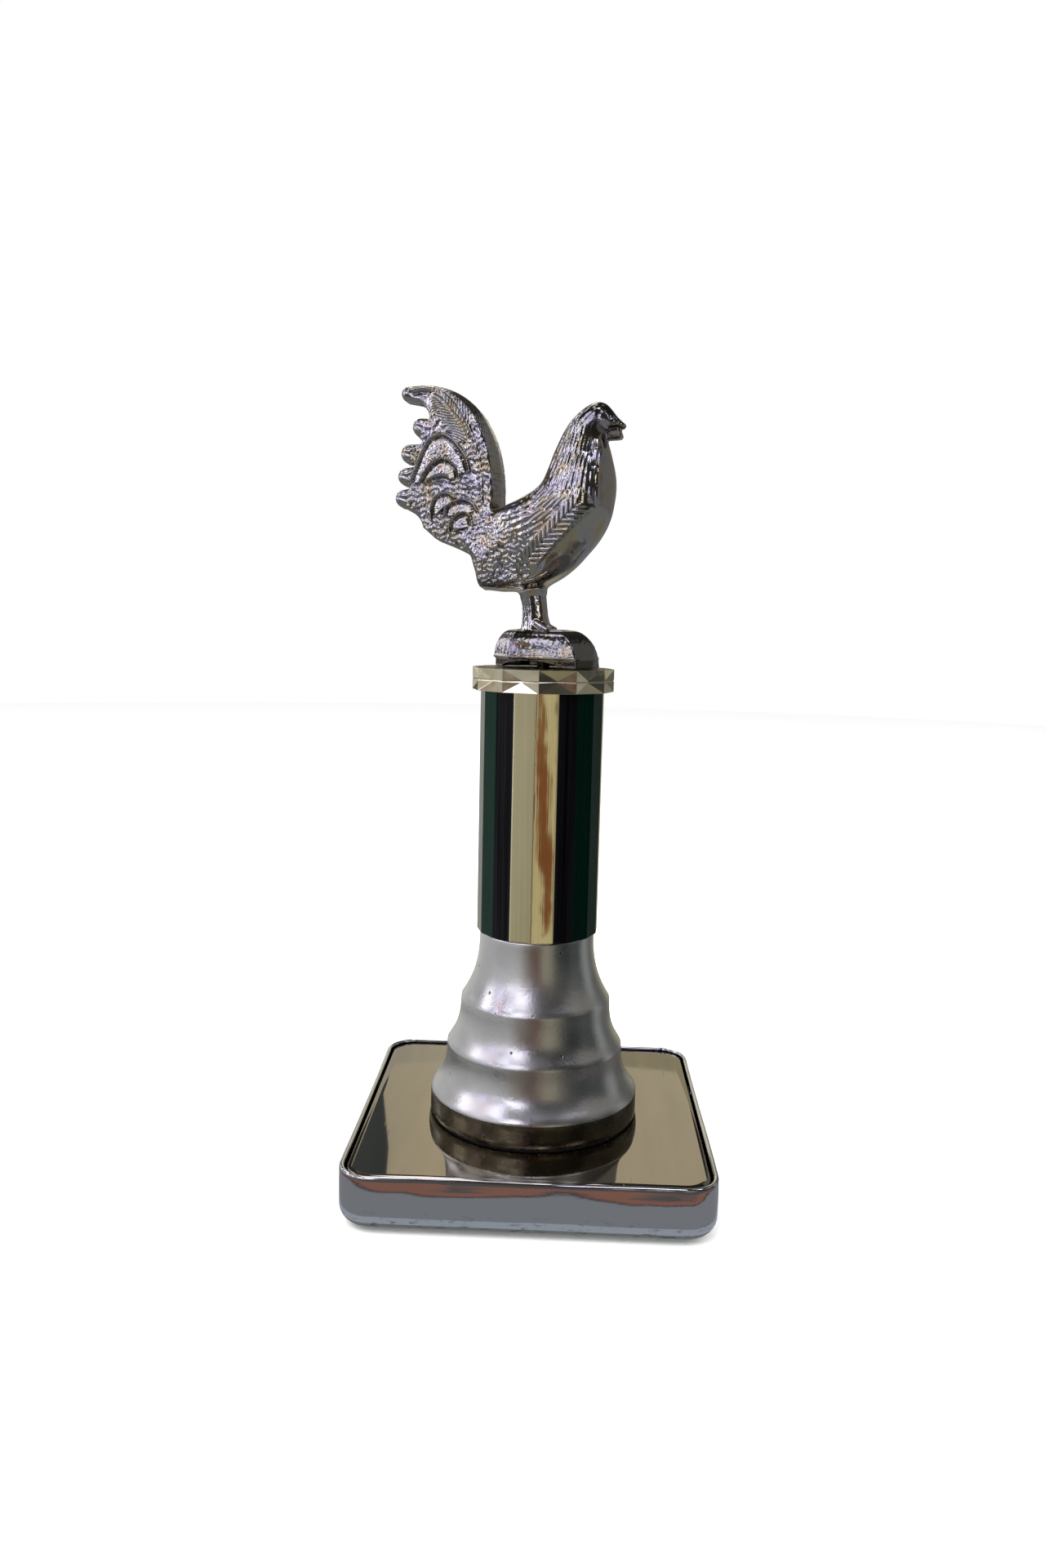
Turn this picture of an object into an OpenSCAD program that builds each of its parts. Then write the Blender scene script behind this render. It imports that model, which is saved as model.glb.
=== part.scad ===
// Rooster car-bonnet ornament screwed to the stud of a trophy column.
// Millimetres. +Z is up, the underside of the felt is z = 0, and the tie rod lies on the Z axis.
// The square base lies along X and Y. The rooster faces +X, turned a little towards -Y.

/* [Base] */
// Width and depth of the square tray at its widest
tray_w = 130; // [110:1:160]
// Height of the tray from its flat underside to the top of its rim
tray_h = 20; // [17:0.5:26]
// Plan radius of the tray's corners
tray_corner_r = 12; // [9:0.5:20]
// Radius of the tray's lower edge
tray_edge_r = 6; // [4:0.5:8]
// Sheet thickness of the pressed tray
tray_wall = 0.8; // [0.6:0.1:1.2]
// Height of the mirror plate's face below the top of the rim
plate_drop = 1.2; // [0.6:0.1:2]
// Thickness of the mirror plate
plate_t = 3; // [2:0.5:4]
// Gap between the plate's edge and the rim
plate_gap = 0.9; // [0.4:0.1:1.5]
// Thickness of the felt sheet under the tray
felt_t = 1.2; // [0.8:0.1:2]

/* [Bell] */
// Height of the bell casting
bell_h = 70.5; // [58:0.5:90]
// Outer radius of the bell's foot
bell_foot_r = 39.4; // [36:0.2:44]
// Height of the upright band at the foot
bell_foot_h = 9; // [6:0.5:12]
// Outer radius of the middle ridge
ridge_mid_r = 33.4; // [31:0.2:35]
// Height of the middle ridge above the foot
ridge_mid_h = 26.6; // [24:0.2:29]
// Outer radius of the upper ridge
ridge_top_r = 28.4; // [26:0.2:30]
// Height of the upper ridge above the foot
ridge_top_h = 44; // [41:0.2:47]
// Outer radius of the bell's top
bell_top_r = 21.6; // [20:0.2:23]
// Wall thickness of the casting
bell_wall = 3.5; // [3:0.25:5]

/* [Column] */
// Width of the column across opposite corners
column_d = 45.6; // [42:0.2:50]
// Length of the column
column_l = 90; // [60:1:140]
// Number of flat facets round the column
column_sides = 18; // [8:2:24]
// Angle that a corner of the column is turned from the front towards the left
column_turn = 4.5; // [0:0.5:22.5]
// Bore of the column's tube
column_bore = 40; // [36:0.5:41]
// Thickness of the plug at each end of the column
plug_t = 6; // [4:0.5:12]

/* [Cap] */
// Outer diameter of the two cap rings
cap_d = 52.2; // [50:0.2:58]
// Height of each of the two rings
cap_ring_h = 4.1; // [3.8:0.1:6]
// Depth of the valley that runs round each ring
cap_valley = 0.9; // [0.4:0.1:1.4]

/* [Rod and fasteners] */
// Diameter of the threaded tie rod
rod_d = 5; // [4:0.5:6]
// Width of the nuts across their flats
nut_af = 8; // [7:0.5:10]
// Thickness of the lock nut in the cap
lock_nut_t = 2.7; // [2.2:0.1:2.8]
// Thickness of the nut under the base
base_nut_t = 4; // [3:0.25:4.5]

/* [Rooster] */
// Height of the rooster from the pad's lower edge to the top of its tail
figure_h = 101.5; // [80:0.5:120]
// Angle that the rooster's head is turned from +X towards -Y
figure_turn = 20; // [0:1:45]
// Thickness of the tail from side to side
tail_t = 15; // [10:0.5:18]
// Width of the body from side to side
body_t = 25; // [20:0.5:28]
// Gap between the pad's lower edge and the cap
pad_gap = 0.8; // [0.6:0.1:1.5]
// Height of the arch in the near side of the pad's lower edge
pad_arch = 1.8; // [0.5:0.1:3]
// Depth of the hollow under the pad
pad_hollow = 3.5; // [1:0.5:4]

/* [Hidden] */

// Clearances
rod_clear = 0.3;    // round the rod in every fixed piece
swivel_clear = 0.08; // round the rod in the rooster's hole, where the rooster turns
plug_clear = 0.15;  // round the column's plugs
board_clear = 0.4;  // between the filler board and the tray

// Heights, from the ground up
tray_z = felt_t;
plate_top_z = tray_z + tray_h - plate_drop;
plate_z = plate_top_z - plate_t;
gasket_t = 0.5;
bell_z = plate_top_z + gasket_t;
column_z = bell_z + bell_h;
cap_z = column_z + column_l;
cap_mid_z = cap_z + cap_ring_h;
cap_top_z = cap_mid_z + cap_ring_h;
figure_z = cap_top_z + pad_gap;

// Nut well pressed up into the middle of the tray, and the fasteners in it
well_r = 14;
well_h = 9;
well_roof_z = tray_z + well_h;
washer_t = 1;
spring_washer_t = 1.3;
base_washer_z = well_roof_z - tray_wall - washer_t;
spring_washer_z = base_washer_z - spring_washer_t;
base_nut_z = spring_washer_z - base_nut_t;
rod_end = 0.5;
rod_z = base_nut_z - rod_end;
stud_in_figure = 8;
rod_top_z = figure_z + stud_in_figure;
rod_hole_r = rod_d / 2 + rod_clear;
washer_r = nut_af * 0.8;
cap_well_r = washer_r + 1.2;

// Rim of the tray: a rolled bead of sheet
bead_r = 0.9;
bead_sink = 0.2; // the bead's top lies this far below the edge of the sheet
plate_w = tray_w - 4 * bead_r - 2 * plate_gap;

// Flat part of the tray's floor
floor_w = tray_w - 2 * tray_edge_r;
floor_corner_r = tray_corner_r - tray_edge_r;

// Every length of the rooster is drawn at its nominal height and scaled with it
figure_nominal_h = 101.5;
k = figure_h / figure_nominal_h;
eps = 0.01;
fine = 96;
blend = 28;

// Points of a cubic curve from a to d, without its last point
function curve(a, b, c, d, n = 6) = [for (i = [0 : n - 1])
  let (t = i / n, u = 1 - t) u * u * u * a + 3 * u * u * t * b + 3 * u * t * t * c + t * t * t * d];

// Points of an arc about c, from angle a0 to a1
function arc(c, r, a0, a1, n = 6) = [for (i = [0 : n]) c + r * [cos(a0 + (a1 - a0) * i / n), sin(a0 + (a1 - a0) * i / n)]];

// ---------- Base ----------

// Half section of a square dish: x is measured from the centre of a corner's arc
module dish_section(inset, top) {
  flank = tray_corner_r - inset;
  edge = tray_edge_r - inset;
  polygon(concat(
    [[0, inset], [flank - edge, inset]],
    arc([flank - edge, tray_edge_r], edge, -75, 0, 5),
    [[flank, top], [0, top]]));
}

// Solid square dish with a rounded lower edge
module dish(inset, top) {
  reach = tray_w / 2 - tray_corner_r;
  hull()
    for (x = [-reach, reach], y = [-reach, reach])
      translate([x, y, 0]) rotate_extrude($fn = 32) dish_section(inset, top);
}

// Square slab with round corners, centred on the Z axis
module slab(w, r, h) {
  reach = w / 2 - r;
  linear_extrude(h) {
    square([w, 2 * reach], center = true);
    square([2 * reach, w], center = true);
    for (x = [-1, 1], y = [-1, 1])
      translate([x * reach, y * reach]) circle(r, $fn = fine);
  }
}

// Pressed and plated sheet-steel tray with a rolled rim and a nut well
module tray_shell() color("silver") translate([0, 0, tray_z]) difference() {
  union() {
    difference() {
      dish(0, tray_h);
      dish(tray_wall, tray_h + 1);
    }
    translate([0, 0, tray_h - 2 * bead_r]) difference() {
      slab(tray_w - tray_wall, tray_corner_r - tray_wall / 2, 2 * bead_r - bead_sink);
      translate([0, 0, -1]) slab(tray_w - 4 * bead_r, tray_corner_r - 2 * bead_r, 2 * bead_r + 2);
    }
    translate([0, 0, tray_wall / 2]) cylinder(r = well_r + tray_wall, h = well_h - tray_wall / 2, $fn = fine);
  }
  translate([0, 0, -1]) cylinder(r = well_r, h = well_h - tray_wall + 1, $fn = fine);
  translate([0, 0, -1]) cylinder(r = rod_hole_r, h = well_h + 2, $fn = fine);
}

// Board that fills the flat part of the tray and carries the plate
module filler_board() color("burlywood") translate([0, 0, tray_z + tray_wall]) difference() {
  slab(floor_w - 2 * board_clear, floor_corner_r, plate_z - tray_z - tray_wall);
  translate([0, 0, -1]) cylinder(r = well_r + tray_wall + board_clear, h = well_h - tray_wall + 1, $fn = fine);
  translate([0, 0, -1]) cylinder(r = rod_hole_r, h = tray_h + 2, $fn = fine);
}

// Dark mirror plate that lies just below the rim
module mirror_plate() color("dimgray") translate([0, 0, plate_z]) difference() {
  slab(plate_w, tray_corner_r - 2 * bead_r - plate_gap, plate_t);
  translate([0, 0, -1]) cylinder(r = rod_hole_r, h = plate_t + 2, $fn = fine);
}

// Felt sheet stuck under the tray, over the nut well
module base_felt() color("darkgreen")
  slab(floor_w - 4, floor_corner_r, felt_t);

// ---------- Bell ----------

// Outline of one flare of the bell, from an upper corner out to a lower ridge
function flare(r0, h0, r1, h1) = curve([r0, h0], [r0 + 0.02 * (r1 - r0), h0 - 0.45 * (h0 - h1)],
  [r0 + 0.3 * (r1 - r0), h1 + 0.3 * (h0 - h1)], [r1, h1], 7);

// Right-hand half section of the bell, grown inwards by w
module bell_section(w) polygon(concat(
  [[0, 0], [0, bell_h - w], [bell_top_r - w - 0.4, bell_h - w]],
  flare(bell_top_r - w, bell_h - 0.6 - w, ridge_top_r - w, ridge_top_h),
  flare(ridge_top_r + 0.1 - w, ridge_top_h - 0.6, ridge_mid_r - w, ridge_mid_h),
  flare(ridge_mid_r + 0.1 - w, ridge_mid_h - 0.6, bell_foot_r - w, bell_foot_h),
  [[bell_foot_r - w, bell_foot_h - 0.8], [bell_foot_r - w, 0]]));

// Hollow cast bell with three flares and an upright foot band
module bell_casting() color("lightgray") translate([0, 0, bell_z]) difference() {
  rotate_extrude($fn = fine) bell_section(0);
  translate([0, 0, -eps]) rotate_extrude($fn = fine) bell_section(bell_wall);
  cylinder(r = rod_hole_r, h = bell_h + 1, $fn = fine);
}

// Thin black ring between the bell's foot and the plate
module bell_gasket() color("black") translate([0, 0, plate_top_z]) difference() {
  cylinder(r = bell_foot_r - 0.6, h = gasket_t, $fn = fine);
  translate([0, 0, -1]) cylinder(r = bell_foot_r - bell_wall, h = gasket_t + 2, $fn = fine);
}

// ---------- Column ----------

// Facetted tube, with a corner near the front
module column_tube() color("darkslategray") translate([0, 0, column_z]) difference() {
  rotate(-90 - column_turn) linear_extrude(column_l)
    polygon([for (i = [0 : column_sides - 1]) column_d / 2
      * [cos(i * 360 / column_sides), sin(i * 360 / column_sides)]]);
  translate([0, 0, -1]) cylinder(d = column_bore, h = column_l + 2, $fn = fine);
}

// Round plug that centres the tube on the rod
module plug() difference() {
  cylinder(r = column_bore / 2 - plug_clear, h = plug_t, $fn = fine);
  translate([0, 0, -1]) cylinder(r = rod_hole_r, h = plug_t + 2, $fn = fine);
}

module column_top_plug() color("tan") translate([0, 0, cap_z - plug_t]) plug();

module column_bottom_plug() color("tan") translate([0, 0, column_z]) plug();

// ---------- Cap ----------

// Ring whose outer face dips to a valley at half its height
module cap_ring(hole_r) difference() {
  rotate_extrude($fn = fine) polygon([
    [0, 0], [cap_d / 2, 0], [cap_d / 2 - cap_valley, cap_ring_h / 2],
    [cap_d / 2, cap_ring_h], [0, cap_ring_h]]);
  translate([0, 0, -1]) cylinder(r = hole_r, h = cap_ring_h + 2, $fn = fine);
}

module cap_lower_ring() color("wheat") translate([0, 0, cap_z]) cap_ring(rod_hole_r);

module cap_upper_ring() color("wheat") translate([0, 0, cap_mid_z]) cap_ring(cap_well_r);

// ---------- Rod and fasteners ----------

// Hexagonal nut on the rod
module nut(h) difference() {
  cylinder(d = nut_af / cos(30), h = h, $fn = 6);
  translate([0, 0, -1]) cylinder(r = rod_d / 2 + swivel_clear, h = h + 2, $fn = fine);
}

// Flat or spring washer, the spring washer with its slot
module washer(h, r, slot) difference() {
  cylinder(r = r, h = h, $fn = fine);
  translate([0, 0, -1]) cylinder(r = rod_hole_r, h = h + 2, $fn = fine);
  if (slot) translate([0, -0.6, -1]) cube([r + 1, 1.2, h + 2]);
}

module tie_rod() color("gray") translate([0, 0, rod_z])
  cylinder(d = rod_d, h = rod_top_z - rod_z, $fn = fine);

module lock_washer() color("silver") translate([0, 0, cap_mid_z]) washer(washer_t, washer_r, false);

module lock_nut() color("silver") translate([0, 0, cap_mid_z + washer_t])
  nut(min(lock_nut_t, cap_ring_h - washer_t));

module base_washer() color("silver") translate([0, 0, base_washer_z]) washer(washer_t, washer_r * 1.4, false);

module base_spring_washer() color("silver") translate([0, 0, spring_washer_z])
  washer(spring_washer_t, nut_af * 0.58, true);

module base_nut() color("silver") translate([0, 0, base_nut_z]) nut(base_nut_t);

// ---------- Rooster ----------
// Drawn in its own plane: x runs from the stud towards the head, z up from the pad's lower edge.

// Upright fan of the tail: hooked sickle feather on top, four round tips behind, lower edge
module tail_outline() polygon(concat(
  curve([-18, 56], [-17.5, 67], [-18.5, 78], [-24.5, 87.5], 7),
  curve([-24.5, 87.5], [-29, 96], [-40, 102.2], [-51, 101.5], 6),
  arc([-54.8, 98.3], 3.2, 80, 250, 6),
  curve([-52.5, 94.6], [-48, 94.3], [-45.5, 91], [-46, 88], 4),
  arc([-49.3, 86.2], 3.7, 60, 215, 5),
  arc([-54, 76.6], 3.9, 120, 235, 5),
  arc([-55.3, 68.6], 3.6, 115, 240, 5),
  arc([-56.4, 60.6], 3.7, 110, 270, 5),
  curve([-52, 54.5], [-48.5, 52], [-48.5, 50], [-48, 48.5], 3),
  curve([-42.5, 44.8], [-36, 42.4], [-30, 40.6], [-26, 37], 4),
  [[-24, 27], [-10, 26], [0, 40]]));

// Solid ball used in the blends
module ball(x, z, r) translate([x, 0, z]) sphere(r, $fn = blend);

module figure_body() hull() {
  ball(10, 55, body_t / 2);
  ball(12, 64, body_t / 2 - 0.5);
  ball(-5, 42, body_t / 2 - 1);
  ball(-20, 42, 7);
}

module figure_neck() hull() {
  ball(12, 65, 10);
  ball(13.5, 78, 8.4);
  ball(17.5, 84, 5);
}

module figure_head() hull() {
  ball(18.5, 85.5, 6.3);
  ball(22, 85, 5.6);
  ball(28.3, 83.6, 1.4);
}

module figure_legs() hull() {
  translate([-3.8, 0, 32]) cylinder(r = 6, h = 2, $fn = blend);
  translate([-3.5, 0, 20]) cylinder(r = 4.8, h = 2, $fn = blend);
  translate([-2.5, 0, 10]) cylinder(r = 5.6, h = 2, $fn = blend);
}

// Outline of the pad: long cut corners behind, short ones in front
module pad_outline(l, w, rear, front, side) translate([1, 0]) polygon([
  [l / 2, w / 2 - side], [l / 2 - front, w / 2], [rear - l / 2, w / 2], [-l / 2, w / 2 - side],
  [-l / 2, side - w / 2], [rear - l / 2, -w / 2], [l / 2 - front, -w / 2], [l / 2, side - w / 2]]);

module figure_pad() hull() {
  linear_extrude(1) pad_outline(39.2, 24, 10, 4, 8);
  translate([0, 0, 6.5]) linear_extrude(1) pad_outline(37, 21.8, 9.5, 4, 7);
  translate([0, 0, 9.5]) linear_extrude(1) pad_outline(33, 19, 8.5, 4, 6);
  translate([0, 0, 12]) linear_extrude(1) pad_outline(26, 14, 7, 4, 4.5);
}

// One chromed casting: rooster, legs and hollow pad, with a hole for the rod's upper end
module rooster_figure() color("slategray") translate([0, 0, figure_z]) rotate([0, 0, -figure_turn]) difference() {
  scale(k) union() {
    translate([0, tail_t / 2 / k, 0]) rotate([90, 0, 0]) linear_extrude(tail_t / k) tail_outline();
    figure_body();
    figure_neck();
    figure_head();
    figure_legs();
    figure_pad();
  }
  translate([0, 0, -1]) cylinder(r = rod_d / 2 + swivel_clear, h = stud_in_figure + 2.5, $fn = fine);
  scale(k) translate([0, 0, -1]) linear_extrude(pad_hollow + 1) pad_outline(34.4, 19.2, 9, 4, 6.6);
  arch_r = (12 * 12 + pad_arch * pad_arch) / (2 * pad_arch);
  translate([-2, -6, pad_arch - arch_r]) rotate([90, 0, 0]) cylinder(r = arch_r, h = 24, $fn = fine);
}

rooster_figure();
tie_rod();
cap_upper_ring();
cap_lower_ring();
lock_nut();
lock_washer();
column_tube();
column_top_plug();
column_bottom_plug();
bell_casting();
bell_gasket();
mirror_plate();
filler_board();
tray_shell();
base_washer();
base_spring_washer();
base_nut();
base_felt();
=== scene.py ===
import math

import bmesh
import bpy
import numpy as np
from mathutils import Matrix, Vector


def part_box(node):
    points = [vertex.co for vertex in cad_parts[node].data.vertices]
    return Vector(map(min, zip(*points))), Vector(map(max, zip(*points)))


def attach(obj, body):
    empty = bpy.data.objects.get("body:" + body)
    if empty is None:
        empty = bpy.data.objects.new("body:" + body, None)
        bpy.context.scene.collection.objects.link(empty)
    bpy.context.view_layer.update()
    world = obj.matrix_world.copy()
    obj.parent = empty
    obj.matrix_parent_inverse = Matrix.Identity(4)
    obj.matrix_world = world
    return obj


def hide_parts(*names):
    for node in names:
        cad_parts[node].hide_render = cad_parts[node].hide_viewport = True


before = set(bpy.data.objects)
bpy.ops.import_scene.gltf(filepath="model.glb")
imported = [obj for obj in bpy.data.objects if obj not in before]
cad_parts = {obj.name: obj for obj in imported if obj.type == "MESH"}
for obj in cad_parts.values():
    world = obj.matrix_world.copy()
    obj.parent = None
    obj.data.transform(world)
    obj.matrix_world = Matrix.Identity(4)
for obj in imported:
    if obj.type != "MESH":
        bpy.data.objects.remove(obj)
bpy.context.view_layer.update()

# Chromed rooster bonnet ornament on the stud of a trophy column, over a cast bell and a square plated base.
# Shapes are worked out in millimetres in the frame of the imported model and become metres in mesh_piece().

MM = 0.001


# ---------- Places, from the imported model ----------

def place(name):
    """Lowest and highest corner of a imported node, in millimetres."""
    low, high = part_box(name)
    return np.array(low) / MM, np.array(high) / MM


TRAY_LOW, TRAY_HIGH = place("tray_shell")
PLATE_LOW, PLATE_HIGH = place("mirror_plate")
BELL_LOW, BELL_HIGH = place("bell_casting")
TUBE_LOW, TUBE_HIGH = place("column_tube")
LOWER_LOW, LOWER_HIGH = place("cap_lower_ring")
UPPER_LOW, UPPER_HIGH = place("cap_upper_ring")
ROD_LOW, ROD_HIGH = place("tie_rod")
BIRD_LOW, BIRD_HIGH = place("rooster_figure")

# The rooster is drawn in its own plane: s from the stud towards the head, y to its left, h up from the pad's
# lower edge.
BIRD_TURN = Matrix.Rotation(math.radians(-20), 4, "Z")
BIRD_FOOT = BIRD_LOW[2]

# The corner of the column nearest the front is turned this many degrees to the left
COLUMN_TURN = 4.5


# ---------- Small tools ----------

def linear(hex_colour):
    """sRGB hex colour to linear RGBA."""
    channels = [int(hex_colour[i:i + 2], 16) / 255 for i in (1, 3, 5)]
    return tuple([c / 12.92 if c <= 0.04045 else ((c + 0.055) / 1.055) ** 2.4 for c in channels] + [1.0])


def add(tree, kind, links=(), stops=(), out=0, **settings):
    """Add one node, with its settings, links and ramp stops, and return one of its outputs."""
    made = tree.nodes.new(kind)
    for key, value in settings.items():
        setattr(made, key, value)
    for key, value in dict(links).items():
        if isinstance(value, bpy.types.NodeSocket):
            tree.links.new(value, made.inputs[key])
        else:
            made.inputs[key].default_value = value
    for i, (at, colour) in enumerate(stops):
        element = made.color_ramp.elements[i] if i < 2 else made.color_ramp.elements.new(at)
        element.position = at
        element.color = linear(colour) if isinstance(colour, str) else (colour, colour, colour, 1)
    return made.outputs[out] if made.outputs else None


def smoothstep(low, high, x):
    """Ease from 0 at low to 1 at high."""
    t = np.clip((x - low) / (high - low), 0, 1)
    return t * t * (3 - 2 * t)


def crease(distance, width):
    """1 on a line, falling to nothing within about twice a width of it."""
    return np.exp(-(distance / width) ** 2)


def lay(under, over, share):
    """One relief laid over another where its share is 1."""
    return under * (1 - share) + over * share


def mesh_piece(name, verts_mm, faces, smooth=True):
    """A mesh object at the origin, from vertices in millimetres."""
    mesh = bpy.data.meshes.new(name)
    mesh.from_pydata((np.asarray(verts_mm, float) * MM).tolist(), [], faces)
    mesh.update()
    mesh.polygons.foreach_set("use_smooth", [smooth] * len(mesh.polygons))
    piece = bpy.data.objects.new(name, mesh)
    bpy.context.scene.collection.objects.link(piece)
    return piece


def turns(count):
    """Evenly spaced angles round one turn."""
    return np.linspace(0, 2 * math.pi, count, endpoint=False)


def circle(radius, z, turn):
    """Points round the upright axis at given angles. The radius may differ from one to the next."""
    return np.column_stack([radius * np.cos(turn), radius * np.sin(turn), np.full(len(turn), z)])


def loft(rings):
    """Faces that join each ring to the next, all rings having the same count of points."""
    rings = np.asarray(rings, float)
    count, around = rings.shape[:2]
    faces = []
    for i in range(count - 1):
        for j in range(around):
            k = (j + 1) % around
            faces.append((i * around + j, i * around + k, (i + 1) * around + k, (i + 1) * around + j))
    return rings.reshape(-1, 3), faces


def outward(piece):
    """Merge doubles and turn every face outwards."""
    mesh = bmesh.new()
    mesh.from_mesh(piece.data)
    bmesh.ops.remove_doubles(mesh, verts=mesh.verts, dist=1e-7)
    bmesh.ops.recalc_face_normals(mesh, faces=mesh.faces)
    mesh.to_mesh(piece.data)
    mesh.free()
    return piece


def settle(piece):
    """Apply the piece's modifiers to its mesh."""
    evaluated = piece.evaluated_get(bpy.context.evaluated_depsgraph_get())
    mesh = bpy.data.meshes.new_from_object(evaluated)
    piece.modifiers.clear()
    piece.data = mesh
    return piece


def soften(piece, width_mm, segments, angle):
    """Round the edges sharper than an angle, and shade flat faces flat."""
    bevel = piece.modifiers.new("rounding", "BEVEL")
    bevel.width = width_mm * MM
    bevel.segments = segments
    bevel.limit_method = "ANGLE"
    bevel.angle_limit = math.radians(angle)
    return settle(piece)


def dress(piece, *finishes):
    """Give a piece its materials, in the order of its slots."""
    piece.data.materials.clear()
    for finish in finishes:
        piece.data.materials.append(finish)
    return piece


def bezier(a, b, c, d, count):
    """Points of a cubic curve from a to d, without its last point."""
    t = np.linspace(0, 1, count, endpoint=False)[:, None]
    a, b, c, d = (np.array(p, float) for p in (a, b, c, d))
    return (1 - t) ** 3 * a + 3 * (1 - t) ** 2 * t * b + 3 * (1 - t) * t * t * c + t ** 3 * d


def arc(centre, radius, start, end, count=9):
    """Points of an arc between two angles in degrees."""
    angle = np.radians(np.linspace(start, end, count))
    return np.array(centre) + radius * np.column_stack([np.cos(angle), np.sin(angle)])


# ---------- Materials ----------
# Texture scales are per metre: a scale of 200 draws features about 5 mm across.

def finish(name):
    """A new material and the piece's own coordinates in its tree."""
    made = bpy.data.materials.new(name)
    made.use_nodes = True
    return made, made.node_tree, add(made.node_tree, "ShaderNodeTexCoord", out="Object")


def coat(made, colour, gloss, relief=None, metallic=1.0):
    """Give a material's shader its colour, roughness and relief, and say how far it is metal."""
    shader = made.node_tree.nodes["Principled BSDF"]
    for socket, source in (("Base Color", colour), ("Roughness", gloss), ("Normal", relief)):
        if source is not None:
            made.node_tree.links.new(source, shader.inputs[socket])
    shader.inputs["Metallic"].default_value = metallic
    return made


def chromed_casting():
    """Chrome over die-cast zinc. The feathers were never polished, so they break reflections into sparkles,
    and painted shade darkens their hollows and other shaded places. The smooth parts only ripple. Tarnish
    tints it faintly violet or brown.
    The grit is drawn at 0.5 mm, coarser than the real casting's skin, so that it shows."""
    made, tree, at = finish("chromed_zinc_casting")
    # The hollow attribute carries painted shade, set from the relief and from shaded places of the casting.
    hollow = add(tree, "ShaderNodeAttribute", attribute_name="hollow", out="Fac")
    feathered = add(tree, "ShaderNodeAttribute", attribute_name="feathered", out="Fac")
    tint = add(tree, "ShaderNodeTexNoise", {"Vector": at, "Scale": 190, "Detail": 3})
    grit = add(tree, "ShaderNodeTexNoise", {"Vector": at, "Scale": 2100, "Detail": 3})
    wave = add(tree, "ShaderNodeTexNoise", {"Vector": at, "Scale": 330, "Detail": 2})
    metal = add(tree, "ShaderNodeValToRGB", {"Fac": tint},
                [(0.33, "#a39fad"), (0.5, "#a9a8a7"), (0.68, "#ab9e88")])
    # Painted shade: the metal is mixed towards near black where the hollow attribute is high.
    shade_share = add(tree, "ShaderNodeMath", {0: hollow, 1: 0.9}, operation="MULTIPLY")
    colour = add(tree, "ShaderNodeMix", {"Factor": shade_share, 6: metal, 7: linear("#1f1c1a")}, out=2,
                 data_type="RGBA")
    gloss = add(tree, "ShaderNodeMapRange", {"Value": grit, "From Min": 0.3, "From Max": 0.7, "To Min": 0.06,
                                             "To Max": 0.17})
    ripple = add(tree, "ShaderNodeBump", {"Height": wave, "Distance": 0.05 * MM})
    depth = add(tree, "ShaderNodeMapRange", {"Value": feathered, "To Min": 0.006 * MM, "To Max": 0.022 * MM})
    pits = add(tree, "ShaderNodeBump", {"Height": grit, "Distance": depth, "Normal": ripple})
    return coat(made, colour, gloss, pits)


def metallised_plastic():
    """Moulded polystyrene, vacuum metallised and lacquered: pale gold, glossy, slightly uneven."""
    made, tree, at = finish("metallised_polystyrene")
    tone = add(tree, "ShaderNodeTexNoise", {"Vector": at, "Scale": 110, "Detail": 2})
    sink = add(tree, "ShaderNodeTexNoise", {"Vector": at, "Scale": 260, "Detail": 3})
    colour = add(tree, "ShaderNodeValToRGB", {"Fac": tone}, [(0.3, "#cfc6a6"), (0.7, "#ded7bf")])
    gloss = add(tree, "ShaderNodeValToRGB", {"Fac": sink}, [(0.3, 0.14), (0.7, 0.24)])
    return coat(made, colour, gloss, add(tree, "ShaderNodeBump", {"Height": sink, "Distance": 0.05 * MM}))


def stamped_foil(name, low, high, metallic, dull, shine, waves_mm=0.25):
    """Coloured foil stamped hot on an extruded tube: faint lines run up it, and its lacquer is glossy.
    The lines are drawn about 1 mm apart, coarser than the real die's, so that they show."""
    made, tree, at = finish(name)
    stretched = add(tree, "ShaderNodeMapping", {"Vector": at, "Scale": (1, 1, 0.015)})
    lines = add(tree, "ShaderNodeTexNoise", {"Vector": stretched, "Scale": 900, "Detail": 3})
    broad = add(tree, "ShaderNodeTexNoise", {"Vector": at, "Scale": 60, "Detail": 2})
    colour = add(tree, "ShaderNodeValToRGB", {"Fac": lines}, [(0.35, low), (0.65, high)])
    gloss = add(tree, "ShaderNodeValToRGB", {"Fac": broad}, [(0.3, shine), (0.7, dull)])
    wavy = add(tree, "ShaderNodeBump", {"Height": broad, "Distance": waves_mm * MM})
    drawn = add(tree, "ShaderNodeBump", {"Height": lines, "Distance": 0.004 * MM, "Normal": wavy})
    return coat(made, colour, gloss, drawn, metallic)


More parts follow.
